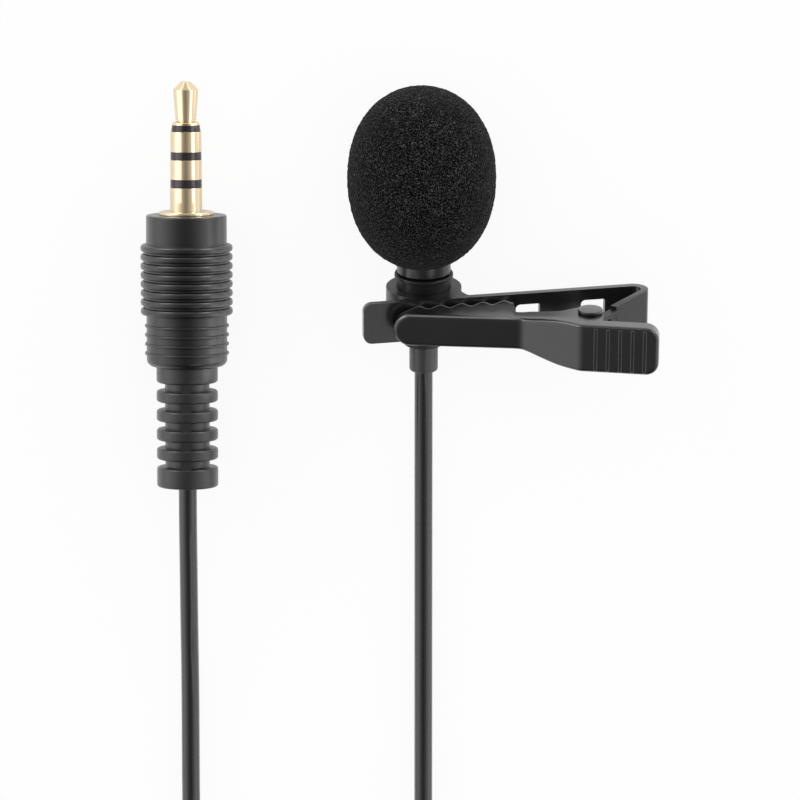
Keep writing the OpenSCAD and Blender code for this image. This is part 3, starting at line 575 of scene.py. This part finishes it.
# %% Placing a piece
def piece(node, meshes, matrix, material, body="microphone", sharp=40, name=None):
    """One object that stands for a CAD node, in place, smooth and riding on its body."""
    bm = bmesh.new()
    for mesh in meshes:
        bm.from_mesh(mesh)
        bpy.data.meshes.remove(mesh)
    bm.transform(matrix)
    if matrix.determinant() < 0:
        bmesh.ops.reverse_faces(bm, faces=bm.faces)
    name = name or node + "_form"
    whole = new_mesh(bm, name)
    paint(whole, material)
    for face in whole.polygons:
        face.material_index = 0
    whole.shade_smooth()
    whole.set_sharp_from_angle(angle=math.radians(sharp))
    made = put(name, whole)
    if sharp < 180:
        even = made.modifiers.new("even", "WEIGHTED_NORMAL")
        even.keep_sharp = True
    if body:
        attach(made, body)
    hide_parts(node)
    print(name, len(whole.polygons), "faces")
    return made


def plain_mesh(made):
    """The evaluated object as a plain mesh; the object itself goes."""
    bpy.context.view_layer.update()
    evaluated = made.evaluated_get(bpy.context.evaluated_depsgraph_get())
    mesh = bpy.data.meshes.new_from_object(evaluated)
    bpy.data.objects.remove(made)
    return mesh


# %% [markdown]
# What repeats is made with Geometry Nodes. The plug has eight grip rings, four fine ribs and
# four discs, all the same thing: a bar bent into a ring and set out along an axis. One tree
# makes them, with its sizes as inputs, and grow() runs a tree and keeps its plain mesh.

# %% Geometry Nodes helpers
def tree(name, **inputs):
    """A geometry tree with its named inputs; gives the group, its maker and its inputs."""
    group = bpy.data.node_groups.new(name, "GeometryNodeTree")
    group.interface.new_socket("Geometry", in_out="OUTPUT", socket_type="NodeSocketGeometry")
    for label, kind in {**inputs, "Material": "Material"}.items():
        group.interface.new_socket(label, in_out="INPUT", socket_type="NodeSocket" + kind)
    maker = Maker(group)
    return group, maker, maker.node("NodeGroupInput")


def rectangle(maker, given, width, height, steps):
    """A rectangle with rounded corners."""
    sharp = maker.node("GeometryNodeCurvePrimitiveQuadrilateral", {
        "Width": given[width], "Height": given[height]})
    return maker.node("GeometryNodeFilletCurve", {
        "Curve": sharp, "Radius": given["Corner"], "Count": steps}, mode="POLY")


def in_a_row(maker, given, thing):
    """Copies of a thing from First on, each a Step from the last."""
    spots = maker.node("GeometryNodeMeshLine", {
        "Count": given["Count"], "Start Location": given["First"], "Offset": given["Step"]})
    return maker.node("GeometryNodeInstanceOnPoints", {"Points": spots, "Instance": thing})


def close(maker, given, geometry):
    """Ends a tree: real geometry with its material."""
    real = maker.node("GeometryNodeRealizeInstances", {"Geometry": geometry})
    painted = maker.node("GeometryNodeSetMaterial", {
        "Geometry": real, "Material": given["Material"]})
    maker.node("NodeGroupOutput", {"Geometry": painted})
    print("tree:", maker.tree.name, len(maker.tree.nodes), "nodes")


def grow(group, mesh=None, **values):
    """The plain mesh that a tree makes from its input values."""
    made = put("grown", mesh or bpy.data.meshes.new("empty"))
    nodes = made.modifiers.new("nodes", "NODES")
    nodes.node_group = group
    for item in group.interface.items_tree:
        if item.in_out == "INPUT" and item.name in values:
            nodes[item.identifier] = values[item.name]
    return plain_mesh(made)


ring_tree, m, given = tree(
    "rings_on_an_axis", Count="Int", First="Vector", Step="Vector", Radius="Float",
    Depth="Float", Height="Float", Corner="Float")
circle = m.node("GeometryNodeCurvePrimitiveCircle", {
    "Resolution": 96, "Radius": given["Radius"] - given["Depth"] * 0.5})
ring = m.node("GeometryNodeCurveToMesh", {
    "Curve": circle, "Profile Curve": rectangle(m, given, "Depth", "Height", 4)})
close(m, given, in_a_row(m, given, ring))

# %% [markdown]
# The plug is read from its tip: a domed tip with a waist, two rings and a sleeve, with a
# resin band between each pair, all on one core. They are lathe work, so each is a profile
# with small arcs at its corners.

# %% Plug contacts
CONTACTS = {
    "plug_tip": [(0, -9.2), (0.42, -9.2), (0.42, 9.45), (1.52, 9.45, 0.04),
                 (1.46, 9.7, 0.04), (1.18, 9.86), (1.02, 9.84), (1.02, 9.96),
                 (1.12, 9.99), (1.36, 12.95, 0.1), (1.38, 13.32), (0.54, 14.2, 0.2),
                 (0, 14.2)],
    "plug_ring_1": [(0.64, -7.8), (0.78, -7.8), (0.78, 6.53), (1.71, 6.53, 0.05),
                    (1.7, 8.76, 0.05), (0.64, 8.76)],
    "plug_ring_2": [(0.97, -6.4), (1.12, -6.4), (1.12, 3.52), (1.74, 3.52, 0.05),
                    (1.72, 5.67, 0.05), (0.97, 5.67)],
    "plug_flange": [(1.52, -0.38), (3.0, -0.38, 0.06), (3.0, 0, 0.14), (1.52, 0)],
}
BANDS = {
    "plug_insulator_front": [(0.44, -8.5), (0.62, -8.5), (0.62, 8.76),
                             (1.62, 8.76, 0.04), (1.52, 9.45, 0.04), (0.44, 9.45)],
    "plug_insulator_middle": [(0.8, -7.1), (0.95, -7.1), (0.95, 5.67),
                              (1.7, 5.67, 0.03), (1.69, 6.53, 0.03), (0.8, 6.53)],
    "plug_insulator_rear": [(1.14, -5.7), (1.3, -5.7), (1.3, 2.62),
                            (1.73, 2.62, 0.03), (1.72, 3.52, 0.03), (1.14, 3.52)],
}


def boxes(places, size):
    """Equal boxes, each about its own place."""
    bm = bmesh.new()
    for place in places:
        at = Matrix.Translation(place) @ Matrix.Diagonal((*size, 1))
        bmesh.ops.create_cube(bm, size=1, matrix=at)
    return new_mesh(bm, "boxes")


for profiles, material in ((CONTACTS, contact_gold), (BANDS, insulator)):
    for node, corners in profiles.items():
        piece(node, [turned(rounded(corners))], IN_PLUG, material)
sleeve = turned(rounded([(1.32, -5.0), (1.5, -5.0, 0.03), (1.5, 0), (1.75, 0),
                         (1.75, 2.62, 0.05), (1.32, 2.62)]))
tail = boxes([(1.4, 0, -6.05)], (0.16, 1.3, 2.3))
piece("plug_sleeve", [sleeve, tail], IN_PLUG, contact_gold)

# %% [markdown]
# The grip is one moulding: a plain collar, eight thick rings to hold it by, and a barrel
# with four fine ribs and a rounded end. The strain relief behind it is cut into discs that
# small webs tie together, so that it bends with the cord instead of breaking it.

# %% Plug grip and strain relief
def ring_bars(count, first, pitch, radius, depth, height, corner, material):
    """Bars bent into rings and set out along the plug's axis."""
    return grow(ring_tree, Count=count, First=(0.0, 0.0, first), Step=(0.0, 0.0, pitch),
                Radius=radius, Depth=depth, Height=height, Corner=corner, Material=material)


grip_shell = turned(rounded([
    (2.32, -0.38), (4.42, -0.38, 0.18), (4.42, -3.5), (4.6, -3.52, 0.05),
    (4.6, -11.4, 0.05), (4.42, -11.42), (4.42, -17.02, 0.8), (2.62, -17.02, 0.1),
    (2.62, -16.02), (3.47, -16.02), (3.47, -1.38), (2.32, -1.38)], 7))
grip_rings = ring_bars(8, -3.995, -0.99, 5.05, 0.9, 0.8, 0.33, grip_black)
grip_ribs = ring_bars(4, -12.54, -1.01, 4.62, 0.5, 0.34, 0.15, grip_black)
piece("plug_grip", [grip_shell, grip_rings, grip_ribs], IN_PLUG, grip_black,
                         sharp=60)

DISC_PITCH = 2.12
boot_core = turned(rounded([
    (1.02, -BOOT_END), (3.37, -BOOT_END, 0.3), (3.37, -28.145, 0.25), (2.45, -28.145, 0.12),
    (2.45, -18.82, 0.12), (3.37, -18.82, 0.3), (3.37, -17.04, 0.08), (2.6, -17.04),
    (2.6, -16.0), (3.45, -16.0), (3.45, -15.12), (1.02, -15.12)]))
boot_discs = ring_bars(4, -20.3, -DISC_PITCH, 3.37, 1.1, 1.27, 0.28, boot_rubber)
boot_webs = boxes([(0, side * 2.75, -19.24 - DISC_PITCH * i) for i in range(5) for side in (-1, 1)],
                  (1.15, 1.1, 1.0))
piece("plug_strain_relief", [boot_core, boot_discs, boot_webs], IN_PLUG,
                         boot_rubber, sharp=50)

# %% [markdown]
# The head is a plain tube, turned in at its foot. A plastic bush with a thin flange sits on
# the stem under it and carries the clip's ring, and a soft sleeve closes the stem round the
# cord. The clip's pivot is a pin with a flat head at each end. All four are lathe work.

# %% Microphone head, bush, sleeve and pin
head = turned(rounded([
    (2.22, -10.75), (2.95, -10.75, 0.12), (2.95, 3.4, 0.08), (2.72, 3.4, 0.05),
    (2.72, -10.15), (2.22, -10.15)]))
piece("mic_housing", [head], IN_MIC, head_black)
bush = turned(rounded([
    (2.24, -16.3), (2.94, -16.3, 0.1), (2.94, -11.4), (3.22, -11.4, 0.12),
    (3.22, -10.9, 0.16), (2.24, -10.9)]))
piece("holder_bush", [bush], IN_MIC, finishes["bush_plastic"], "bush")
sleeve = turned(rounded([
    (1.02, -SLEEVE_END, 0.05), (1.575, -SLEEVE_END, 0.45), (1.575, -19.17), (1.28, -19.17),
    (1.28, -16.55), (1.02, -16.55)], 8))
piece("mic_strain_relief", [sleeve], IN_MIC, sleeve_rubber)
pin = turned(rounded([
    (0, -3.075), (1.35, -3.075, 0.1), (1.35, -2.725, 0.04), (0.6, -2.725),
    (0.6, 2.725), (1.35, 2.725, 0.04), (1.35, 3.075, 0.1), (0, 3.075)]))
piece("pivot_pin", [pin], AT_PIVOT, pin_black, "clip")

# %% [markdown]
# The clip's spring is a few turns of wire round the pivot. One arm leans on the plate and the
# other pushes the paddle up. The wire is the same swept tube as the cord; it is baked in place
# and rides on no body.

# %% Spring
WIRE, SPRING_R, SPRING_HALF, ARM_IN, ARM_OUT = 0.4, 1.2, 0.784, 4.4, 4.545
SPRING_START, SPRING_TURN, GRASP = 47, 664, 0.05


def spring_spot(degrees, height, along=0.0):
    """A point on the spring's turns, or some way along the arm that leaves them there."""
    c, s = cos_sin(degrees)
    return Vector((SPRING_R * c - along * s, SPRING_R * s + along * c, height))


wire = [spring_spot(SPRING_START, -SPRING_HALF, -ARM_IN * (1 - k / 8)) for k in range(8)]
wire += [spring_spot(SPRING_START + SPRING_TURN * k / 120, SPRING_HALF * (k / 60 - 1))
         for k in range(121)]
wire += [spring_spot(SPRING_START + SPRING_TURN, SPRING_HALF, ARM_OUT * k / 8)
         for k in range(1, 9)]
spring = piece("torsion_spring", [swept("wire", wire, WIRE / 2, 12)], AT_PIVOT,
               finishes["spring_steel"], body=None, sharp=180)
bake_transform(spring)

# %% [markdown]
# The clip's back plate is one strip of sheet steel with two windows, bent back on itself to
# two ears for the pivot. The ring round the bush is moulded with its foot, and the band is a
# plain strap. They could be drawn again, but their CAD shapes are right, so a copy of each
# has its loose triangles merged and gets a fine bevel on each edge. The plate's ears are
# marked, since its enamel is matt there.

# %% Back plate, ring and band
def mark(mesh, name, values):
    """Gives each point of a mesh a number that a finish can read."""
    marks = mesh.attributes.new(name, "FLOAT", "POINT")
    marks.data.foreach_set("value", np.asarray(values, np.float32))


def rounded_copy(node, width):
    """A CAD node's mesh with merged triangles and rounded edges, in metres."""
    bm = bmesh.new()
    bm.from_mesh(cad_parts[node].data)
    bmesh.ops.remove_doubles(bm, verts=bm.verts, dist=1e-7)
    bmesh.ops.dissolve_limit(bm, angle_limit=math.radians(0.5), verts=bm.verts, edges=bm.edges)
    made = put("copy", new_mesh(bm, node + "_copy"))
    bevel = made.modifiers.new("bevel", "BEVEL")
    bevel.width, bevel.segments, bevel.angle_limit = width / 1000, 3, math.radians(30)
    bevel.use_clamp_overlap = True
    return plain_mesh(made)


IN_PLACE = Matrix.Identity(4)
plate = rounded_copy("clip_back_plate", 0.1)
outwards = [(IN_CLIP.inverted() @ vertex.co).y for vertex in plate.vertices]
mark(plate, "matt", np.interp(outwards, [5.5, 7.0], [0, 1]))
piece("clip_back_plate", [plate], IN_PLACE, clip_black, "clip")
piece("holder_ring", [rounded_copy("holder_ring", 0.12)], IN_PLACE, holder_black, "clip")
tie = piece("cord_tie", [rounded_copy("cord_tie", 0.15)], IN_PLACE, finishes["tie_strap"])

# %% [markdown]
# The lever is a stamped channel: a narrow jaw with teeth on the edges of its flanges, a
# slope, and a broad thumb paddle with ribs. A bevel on the CAD copy would leave pinched
# corners where the slope meets the flanges, so the sheet is drawn as layers: the outline of
# its plan is repeated inwards and downwards, round the bend, down the flange, round its
# rim and back up inside, and the face is filled between the outline's two sides.

# %% Lever outline
REACH, HALF, WIDE, CORNER, END = 21.25, 1.78, 2.675, 1.4, 7.6
SLOPE_A, SLOPE_B, FACE, NEAR, FAR_UP, SHEET = -7.4, -0.85, 0.42, 4.15, 4.7, 0.6
TEETH, TOOTH, DEEP, JAW_GAP, TO_PLATE = -19.85, 2.26, 1.0, 0.1, 7.9
TEETH_END, EAR_HALF, EAR_R = TEETH + 5 * TOOTH, 1.083, 1.25


def raw_face(x):
    """Height of the lever's face with sharp bends."""
    return float(np.interp(x, [-30, SLOPE_A, SLOPE_B, END], [FACE, FACE, NEAR, FAR_UP]))


def face_height(x):
    """Height of the lever's face, with its two bends rounded."""
    return sum(raw_face(x + 0.05 * k) for k in range(-7, 8)) / 15


def plate_line(x):
    """Height of the clip's plate under the jaw."""
    c, s = cos_sin(JAW)
    return -(TO_PLATE + x * s) / c


def tooth_line(x):
    """Height of the teeth, whose tips stand just off the plate."""
    wave = (1 - math.cos(math.tau * (x - TEETH) / TOOTH - math.pi)) / 2
    return plate_line(x) + JAW_GAP + DEEP * wave


def flange_edge(x):
    """Height of the flange's free edge: nose, teeth, waist, ear round the pivot, paddle."""
    if x < TEETH:
        share = (x + REACH) / (TEETH + REACH)
        return (FACE - 1.3) * (1 - share) + tooth_line(TEETH) * share
    if x < TEETH_END:
        return tooth_line(x)
    if x < TEETH_END + 0.4:
        foot = tooth_line(TEETH_END)
        return foot + (FACE - 2.25 - foot) * (x - TEETH_END) / 0.4
    if x < -EAR_HALF:
        return float(np.interp(x, [TEETH_END + 0.4, -6.6, -4.9, -3.7, -2.95, -EAR_HALF], [
            FACE - 2.25, FACE - 2.15, FACE - 1.3, FACE - 0.85, FACE - 0.9, -1.575]))
    if x < 1.231:
        return -0.95 - math.sqrt(max(0, EAR_R ** 2 - x * x))
    return float(np.interp(x, [1.231, 1.4, 1.5, END], [-1.167, 0, 2.36, FAR_UP - 2.0]))


quarter = [math.radians(a) for a in range(0, 91, 6)]
stations = [-REACH + HALF * (1 - math.cos(a)) for a in quarter]
stations += list(np.arange(-REACH + HALF + 0.12, 1.3, 0.12)) + [1.4, 1.5]
stations += list(np.arange(1.7, END - CORNER, 0.3))
stations += [END - CORNER + CORNER * math.sin(a) for a in quarter]
knots = np.array([
    [-REACH + HALF, HALF], [SLOPE_A - 0.4, HALF], [SLOPE_A + 0.5, 1.83], [-5.37, 2.2],
    [-3.47, 2.58], [-2.2, 2.66], [SLOPE_B, WIDE], [END, WIDE]])


def half_width(x):
    """Half the sheet's width, with a round nose and rounded corners on the paddle."""
    if x < -REACH + HALF:
        return math.sqrt(max(0, HALF ** 2 - (x + REACH - HALF) ** 2))
    if x > END - CORNER:
        return WIDE - CORNER + math.sqrt(max(0, CORNER ** 2 - (x - END + CORNER) ** 2))
    near = [float(np.interp(x + 0.12 * k, knots[:, 0], knots[:, 1])) for k in range(-5, 6)]
    return sum(near) / 11 if x > SLOPE_A - 2 else HALF


ACROSS = 16
upper = [(x, half_width(x)) for x in stations]
end_edge = [(END, upper[-1][1] * (1 - 2 * k / ACROSS)) for k in range(1, ACROSS)]
outline = np.array(upper + end_edge + [(x, -w) for x, w in upper[:0:-1]])
tangent = np.roll(outline, -1, 0) - np.roll(outline, 1, 0)
tangent /= np.linalg.norm(tangent, axis=1)[:, None]
inward = np.stack([tangent[:, 1], -tangent[:, 0]], 1)
print("lever outline:", len(outline), "points")

# %% [markdown]
# Each layer of the sheet is that outline, moved inwards and set to its own heights. The
# first layers turn the bend, four go down the flange, six turn round its rim, and two come
# back up inside. Neighbouring layers are joined all round, and two caps close the face.

# %% Lever sheet
def layer(offset, height):
    """The outline moved inwards, at the heights that height(x, base) gives."""
    spots = outline + inward * offset
    return [(x, height(x, base), z) for (x, z), (base, _) in zip(spots, outline)]


ROUND, RIM = 0.42, 0.1
layers = []
for a in range(0, 91, 15):
    c, s = cos_sin(a)
    layers.append(layer(ROUND * (1 - s), lambda x, base, c=c: face_height(x) - ROUND * (1 - c)))
FLANGE = len(layers)
for share in (0.1, 0.5, 0.92, 1.0):
    layers.append(layer(0, lambda x, base, share=share: (1 - share) * (face_height(x) - ROUND)
                        + share * (flange_edge(base) + RIM)))
for a in (30, 60, 90, 120, 150, 180):
    c, s = cos_sin(a)
    across = RIM * (1 - c) if a <= 90 else SHEET - RIM * (1 + c)
    layers.append(layer(across, lambda x, base, s=s: flange_edge(base) + RIM * (1 - s)))
layers.append(layer(SHEET, lambda x, base: face_height(x) - SHEET - 0.12))
layers.append(layer(SHEET + 0.12, lambda x, base: face_height(x) - SHEET))

bm = bmesh.new()
loops = [[bm.verts.new(p) for p in row] for row in layers]
size, last = len(outline), len(stations) - 1
for a, b in zip(loops, loops[1:]):
    for i in range(size):
        bm.faces.new([a[i], a[(i + 1) % size], b[(i + 1) % size], b[i]])


def cap(loop, drop):
    """Fills the face between the outline's two sides."""
    rows = []
    for i in range(1, last):
        a, b = loop[i].co, loop[-i].co
        inner = [bm.verts.new((a.x, face_height(a.x) - drop, a.z + (b.z - a.z) * k / ACROSS))
                 for k in range(1, ACROSS)]
        rows.append([loop[i], *inner, loop[-i]])
    rows.append([loop[last + k] for k in range(ACROSS + 1)])
    for a, b in zip(rows, rows[1:]):
        for k in range(ACROSS):
            bm.faces.new([a[k], a[k + 1], b[k + 1], b[k]])
    for k in range(ACROSS):
        bm.faces.new([loop[0], rows[0][k + 1], rows[0][k]])


cap(loops[0], 0)
cap(loops[-1], SHEET)
bmesh.ops.recalc_face_normals(bm, faces=bm.faces)
print("lever sheet:", len(bm.faces), "faces, open:", sum(not e.is_manifold for e in bm.edges))
sheet_mesh = new_mesh(bm, "lever_sheet")

# %% [markdown]
# Enamel that is pulled over a flange turns thin and matt, and the teeth are rubbed down to
# the steel by cloth; that pale steel also stands in for the thin highlight along the teeth.
# The jaw's upper bend, on one side only, gets the same pale steel as a painted highlight.
# A mask painted by hand would be lost when a size changes, so the two numbers come from each
# point's layer and its place along the lever.

# %% Wear and painted highlights on the lever
places = np.array([point for row in layers for point in row])
down = np.repeat(np.arange(len(layers)), size) - FLANGE
drawn = np.interp(down, [0, 1], [0, 1]) * np.interp(places[:, 0], [-4.5, 0], [1, 0])
# Pale steel on the teeth: worn enamel, and also a painted highlight line along them.
lever_wear_and_highlight = np.interp(down, [2, 3, 5, 6, 7], [0, 1, 1, 0.2, 0]) * (places[:, 0] < TEETH_END)
# A painted highlight on one side of the jaw's upper bend, where the bend would catch the light.
painted_highlight_edge = np.interp(down, [-4, -3, -2, -1], [0, 0.3, 0.3, 0]) * (places[:, 2] > 0)
lever_wear_and_highlight += painted_highlight_edge * np.interp(places[:, 0], [-9, -7], [1, 0])
face_points = np.zeros(len(sheet_mesh.vertices) - len(places))
mark(sheet_mesh, "matt", np.concatenate([drawn, face_points]))
mark(sheet_mesh, "wear_and_highlight", np.concatenate([lever_wear_and_highlight, face_points]))
print("bare points:", int((lever_wear_and_highlight > 0.5).sum()), "matt points:", int((drawn > 0.5).sum()))

# %% [markdown]
# The thumb paddle has five ribs across it. A second tree makes them: a rounded outline is
# filled and extruded, its top is shrunk for a soft edge, and the bar is set out in a row
# that follows the paddle's slope.

# %% Lever ribs
rib_tree, m, given = tree(
    "bars_in_a_row", Count="Int", First="Vector", Step="Vector", Length="Float",
    Width="Float", Height="Float", Edge="Float", Corner="Float")
plan = rectangle(m, given, "Width", "Length", 5)
filled = m.node("GeometryNodeFillCurve", {"Curve": plan}, mode="NGONS")
side = m.node("GeometryNodeExtrudeMesh", {
    "Mesh": filled, "Offset Scale": given["Height"] - given["Edge"]})
edge = m.node("GeometryNodeExtrudeMesh", {
    "Mesh": side["Mesh"], "Selection": side["Top"], "Offset Scale": given["Edge"]})
shrunk = edge["Mesh"]
for axis, label in (((1, 0, 0), "Width"), ((0, 1, 0), "Length")):
    shrunk = m.node("GeometryNodeScaleElements", {
        "Geometry": shrunk, "Selection": edge["Top"], "Axis": axis,
        "Scale": 1 - given["Edge"] * 2 / given[label]}, scale_mode="SINGLE_AXIS")
underside = m.node("GeometryNodeFlipFaces", {"Mesh": filled})
both = m.node("GeometryNodeJoinGeometry")
for part in (underside, shrunk):
    m.tree.links.new(part.socket, both.socket.node.inputs[0])
bar = m.node("GeometryNodeMergeByDistance", {"Geometry": both, "Distance": 0.0001})
close(m, given, in_a_row(m, given, bar))

ribs = grow(rib_tree, Count=5, First=(0.83, 0.0, 0.0), Step=(1.32, 0.0, 0.0), Length=4.8,
            Width=0.46, Height=0.3, Edge=0.1, Corner=0.2, Material=clip_black)
SUNK = 0.18
slope = math.atan((FAR_UP - NEAR) / (END - SLOPE_B))
stand = Matrix(((1, 0, 0, 0), (0, 0, 1, 0), (0, -1, 0, 0), (0, 0, 0, 1)))
slant = Matrix.Translation((0, NEAR - SLOPE_B * math.tan(slope) - SUNK, 0))
ribs.transform(slant @ turn(math.degrees(slope), "Z") @ stand)
piece("clip_lever", [sheet_mesh, ribs], ON_LEVER, clip_black, "lever", 50)

# %% [markdown]
# The windscreen is turned as a smooth egg with a bore, then a geometry tree roughens only
# its skin: an attribute marks the skin, and a cell texture moves each point a few hundredths
# of a millimetre, so that its outline is a little ragged as cut foam is.

# %% Windscreen
FOAM_R, FOAM_HALF, FULL, MOUTH_R, BORE, BORE_TOP = 8.1, 10.15, 2.15, 3.15, 2.99, 3.6
AROUND, UP, OFF_AXIS = 320, 220, 0.25
low = -math.acos((MOUTH_R / FOAM_R) ** (FULL / 2))
egg = []
for i in range(UP + 1):
    a = low + (math.pi / 2 - low) * i / UP
    egg.append((FOAM_R * abs(math.cos(a)) ** (2 / FULL) if i < UP else 0,
                FOAM_HALF * math.copysign(abs(math.sin(a)) ** (2 / FULL), a)))
lip = egg[0][1]
foam_mesh = turned(egg + [(0, BORE_TOP), (BORE, BORE_TOP), (BORE, -4.0), (BORE, lip + 0.12),
                          (BORE + 0.04, lip + 0.03)], AROUND)
outer = 1 + AROUND * UP
skin = np.zeros(len(foam_mesh.vertices))
skin[AROUND:outer] = 1
mark(foam_mesh, "skin", skin)
for vertex in foam_mesh.vertices[:outer]:
    vertex.co.x -= OFF_AXIS

foam_tree, m, given = tree(
    "foam_skin", Mesh="Geometry", Cell="Float", Depth="Float", Seed="Float")
at = m.node("GeometryNodeInputPosition")
cells = m.node("ShaderNodeTexVoronoi", {
    "Vector": at, "W": given["Seed"], "Scale": 1 / given["Cell"]}, voronoi_dimensions="4D")
rough = m.node("ShaderNodeTexNoise", {
    "Vector": at, "W": given["Seed"], "Scale": 0.9}, noise_dimensions="4D")
marked = m.node("GeometryNodeInputNamedAttribute", {"Name": "skin"}, data_type="FLOAT")
amount = (0.45 - cells["Distance"] + (rough - 0.5) * 0.6) * given["Depth"] * marked
push = m.node("ShaderNodeVectorMath", {
    0: m.node("GeometryNodeInputNormal"), "Scale": amount}, operation="SCALE")
close(m, given, m.node("GeometryNodeSetPosition", {"Geometry": given["Mesh"], "Offset": push}))
foam_mesh = grow(foam_tree, foam_mesh, Cell=0.42, Depth=0.11, Seed=3.0, Material=foam_black)
windscreen = piece("windscreen", [foam_mesh], IN_MIC, foam_black, "windscreen", 180,
                   name="windscreen_foam")

# %% [markdown]
# What hides inside the head and the plug stays as the CAD made it, with a finish by name: a
# steel grille, cloth, a rubber seal, the capsule and its board, wires, and rivets.

# %% Finishes of the remaining nodes
KEPT = {
    "mic_grille": "grille_steel", "grille_felt": "felt", "capsule_seal": "seal_rubber",
    "capsule_can": "capsule_aluminium", "capsule_diaphragm": "diaphragm_film",
    "capsule_backplate": "backplate_brass", "capsule_board": "board",
    "mic_wires": "wire_insulation", "mic_stem": "stem_black", "holder_rivet": "rivet_steel",
    "plug_core": "core_plastic", "plug_wires": "wire_insulation",
}
for node, name in KEPT.items():
    paint(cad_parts[node].data, finishes[name])
for node in ("mic_cord_end", "plug_cord_end"):
    paint(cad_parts[node].data, cord_jacket)
print("kept nodes:", len(KEPT) + 2)

# %% [markdown]
# The point where the cord leaves the microphone is printed, in millimetres.

print("cord leaves at", [round(x, 2) for x in mic_exit], "mm")

# %% [markdown]
# The light is that of a table between two long white walls: bright to the left and right,
# dim overhead and along the table, so a round black piece is dark along its middle and
# lighter to its sides. Soft boxes beyond the windscreen draw a line on each edge that faces
# them, and a fill from above lights the colours without a reflection of its own. Small cards
# stand by the plug: one at each side, so that the gold shows two bright bands, a dim one
# above it, one before the tip, and a low one that hides the dark windscreen.

# %% Light
def soft_box(name, place, aim, size, power, mirrored=True, lighting=True):
    """An area lamp that no camera sees; it may light, be mirrored, or both."""
    light = bpy.data.lights.new(name, "AREA")
    light.shape, light.size, light.size_y, light.energy = "RECTANGLE", size[0], size[1], power
    lamp = put(name, light)
    lamp.location = place
    lamp.rotation_euler = (Vector(aim) - Vector(place)).to_track_quat("-Z", "Y").to_euler()
    lamp.visible_camera, lamp.visible_glossy, lamp.visible_diffuse = False, mirrored, lighting


OBJECT, SHAFT = (0, -0.02, 0), (-0.0344, 0.0102, 0.005)
soft_box("box_beyond", (0.0, 0.75, 0.45), OBJECT, (0.5, 0.4), 0.6)
soft_box("box_beyond_left", (-0.6, 0.6, 0.3), OBJECT, (0.5, 0.4), 1.8)
soft_box("box_beyond_right", (0.6, 0.6, 0.3), OBJECT, (0.5, 0.4), 1.8)
soft_box("box_near", (0.21, -0.31, 0.35), (0, -0.009, 0.01), (0.27, 0.12), 0.075)
soft_box("fill", (0.0, 0.0, 0.9), (0, 0, 0), (1.2, 1.2), 5.0, mirrored=False)
CARDS = {
    "card_left": ((-0.0429, 0.0102, 0.012), SHAFT, (0.0145, 0.0092), 0.00026),
    "card_right": ((-0.0205, 0.0102, 0.0155), SHAFT, (0.0145, 0.0062), 0.00025),
    "card_over": ((-0.0344, 0.0063, 0.030), (-0.0344, 0.0063, 0.005), (0.026, 0.0142), 0.0001),
    "card_tip": ((-0.0344, 0.036, 0.0085), (-0.0344, 0.0163, 0.0062), (0.022, 0.009), 0.0003),
    "card_low": ((-0.0195, 0.004, 0.007), (-0.034, 0.004, 0.005), (0.045, 0.013), 0.0016),
}
for name, values in CARDS.items():
    soft_box(name, *values, lighting=False)
print("cards by the plug:", len(CARDS))

# %% [markdown]
# The walls are the world's background. Its level grows with the square of how far a
# direction leans to the left or right, and is held down on the near side. A ray from the
# camera meets plain white instead, so that the background is white without adding light.

# %% Walls
TO_THE_SIDES, OVERHEAD = 1.25, 0.14
world = bpy.data.worlds.new("walls")
bpy.context.scene.world = world
m = emptied(world)
way = m.node("ShaderNodeSeparateXYZ", {"Vector": m.node("ShaderNodeTexCoord")["Generated"]})
level = way["X"] * way["X"] * TO_THE_SIDES + OVERHEAD
level = level * m.spread(way["Y"], -0.95, -0.62, 0.2, 1.0)
path = m.node("ShaderNodeLightPath")
seen = path["Is Camera Ray"].larger(path["Is Transmission Ray"])
lit = m.node("ShaderNodeBackground", {"Color": (1, 1, 1, 1), "Strength": level})
white = m.node("ShaderNodeBackground", {"Color": (1, 1, 1, 1), "Strength": 1.0})
mixed = m.node("ShaderNodeMixShader", {0: seen, 1: lit, 2: white})
m.node("ShaderNodeOutputWorld", {"Surface": mixed})
print("walls:", len(world.node_tree.nodes), "nodes")

# %% [markdown]
# The floor is lit like the rest, but to the camera most of it is plain white, which lifts
# the background and keeps a little of the object's shadow. Reflections get a small share of
# that white.

# %% Floor
FLOOR, TO_CAMERA, TO_GLOSS = 3, 0.91, 0.12
floor_mesh = bpy.data.meshes.new("floor")
floor_mesh.from_pydata([(-FLOOR, -FLOOR, 0), (FLOOR, -FLOOR, 0), (FLOOR, FLOOR, 0),
                        (-FLOOR, FLOOR, 0)], [], [(0, 1, 2, 3)])
floor = put("floor", floor_mesh)
floor_paint = bpy.data.materials.new("floor_paint")
m = emptied(floor_paint)
path = m.node("ShaderNodeLightPath")
seen = (path["Is Camera Ray"] * TO_CAMERA).larger(path["Is Glossy Ray"] * TO_GLOSS)
seen = seen.larger(path["Is Transmission Ray"] * TO_CAMERA)
matt = m.node("ShaderNodeBsdfDiffuse", {"Color": (0.9, 0.9, 0.9, 1)})
white = m.node("ShaderNodeEmission", {"Color": (1, 1, 1, 1), "Strength": 1.0})
mixed = m.node("ShaderNodeMixShader", {0: seen, 1: matt, 2: white})
m.node("ShaderNodeOutputMaterial", {"Surface": mixed})
paint(floor_mesh, floor_paint)
bpy.context.scene.view_settings.view_transform = "Standard"
print("floor:", 2 * FLOOR, "m wide")
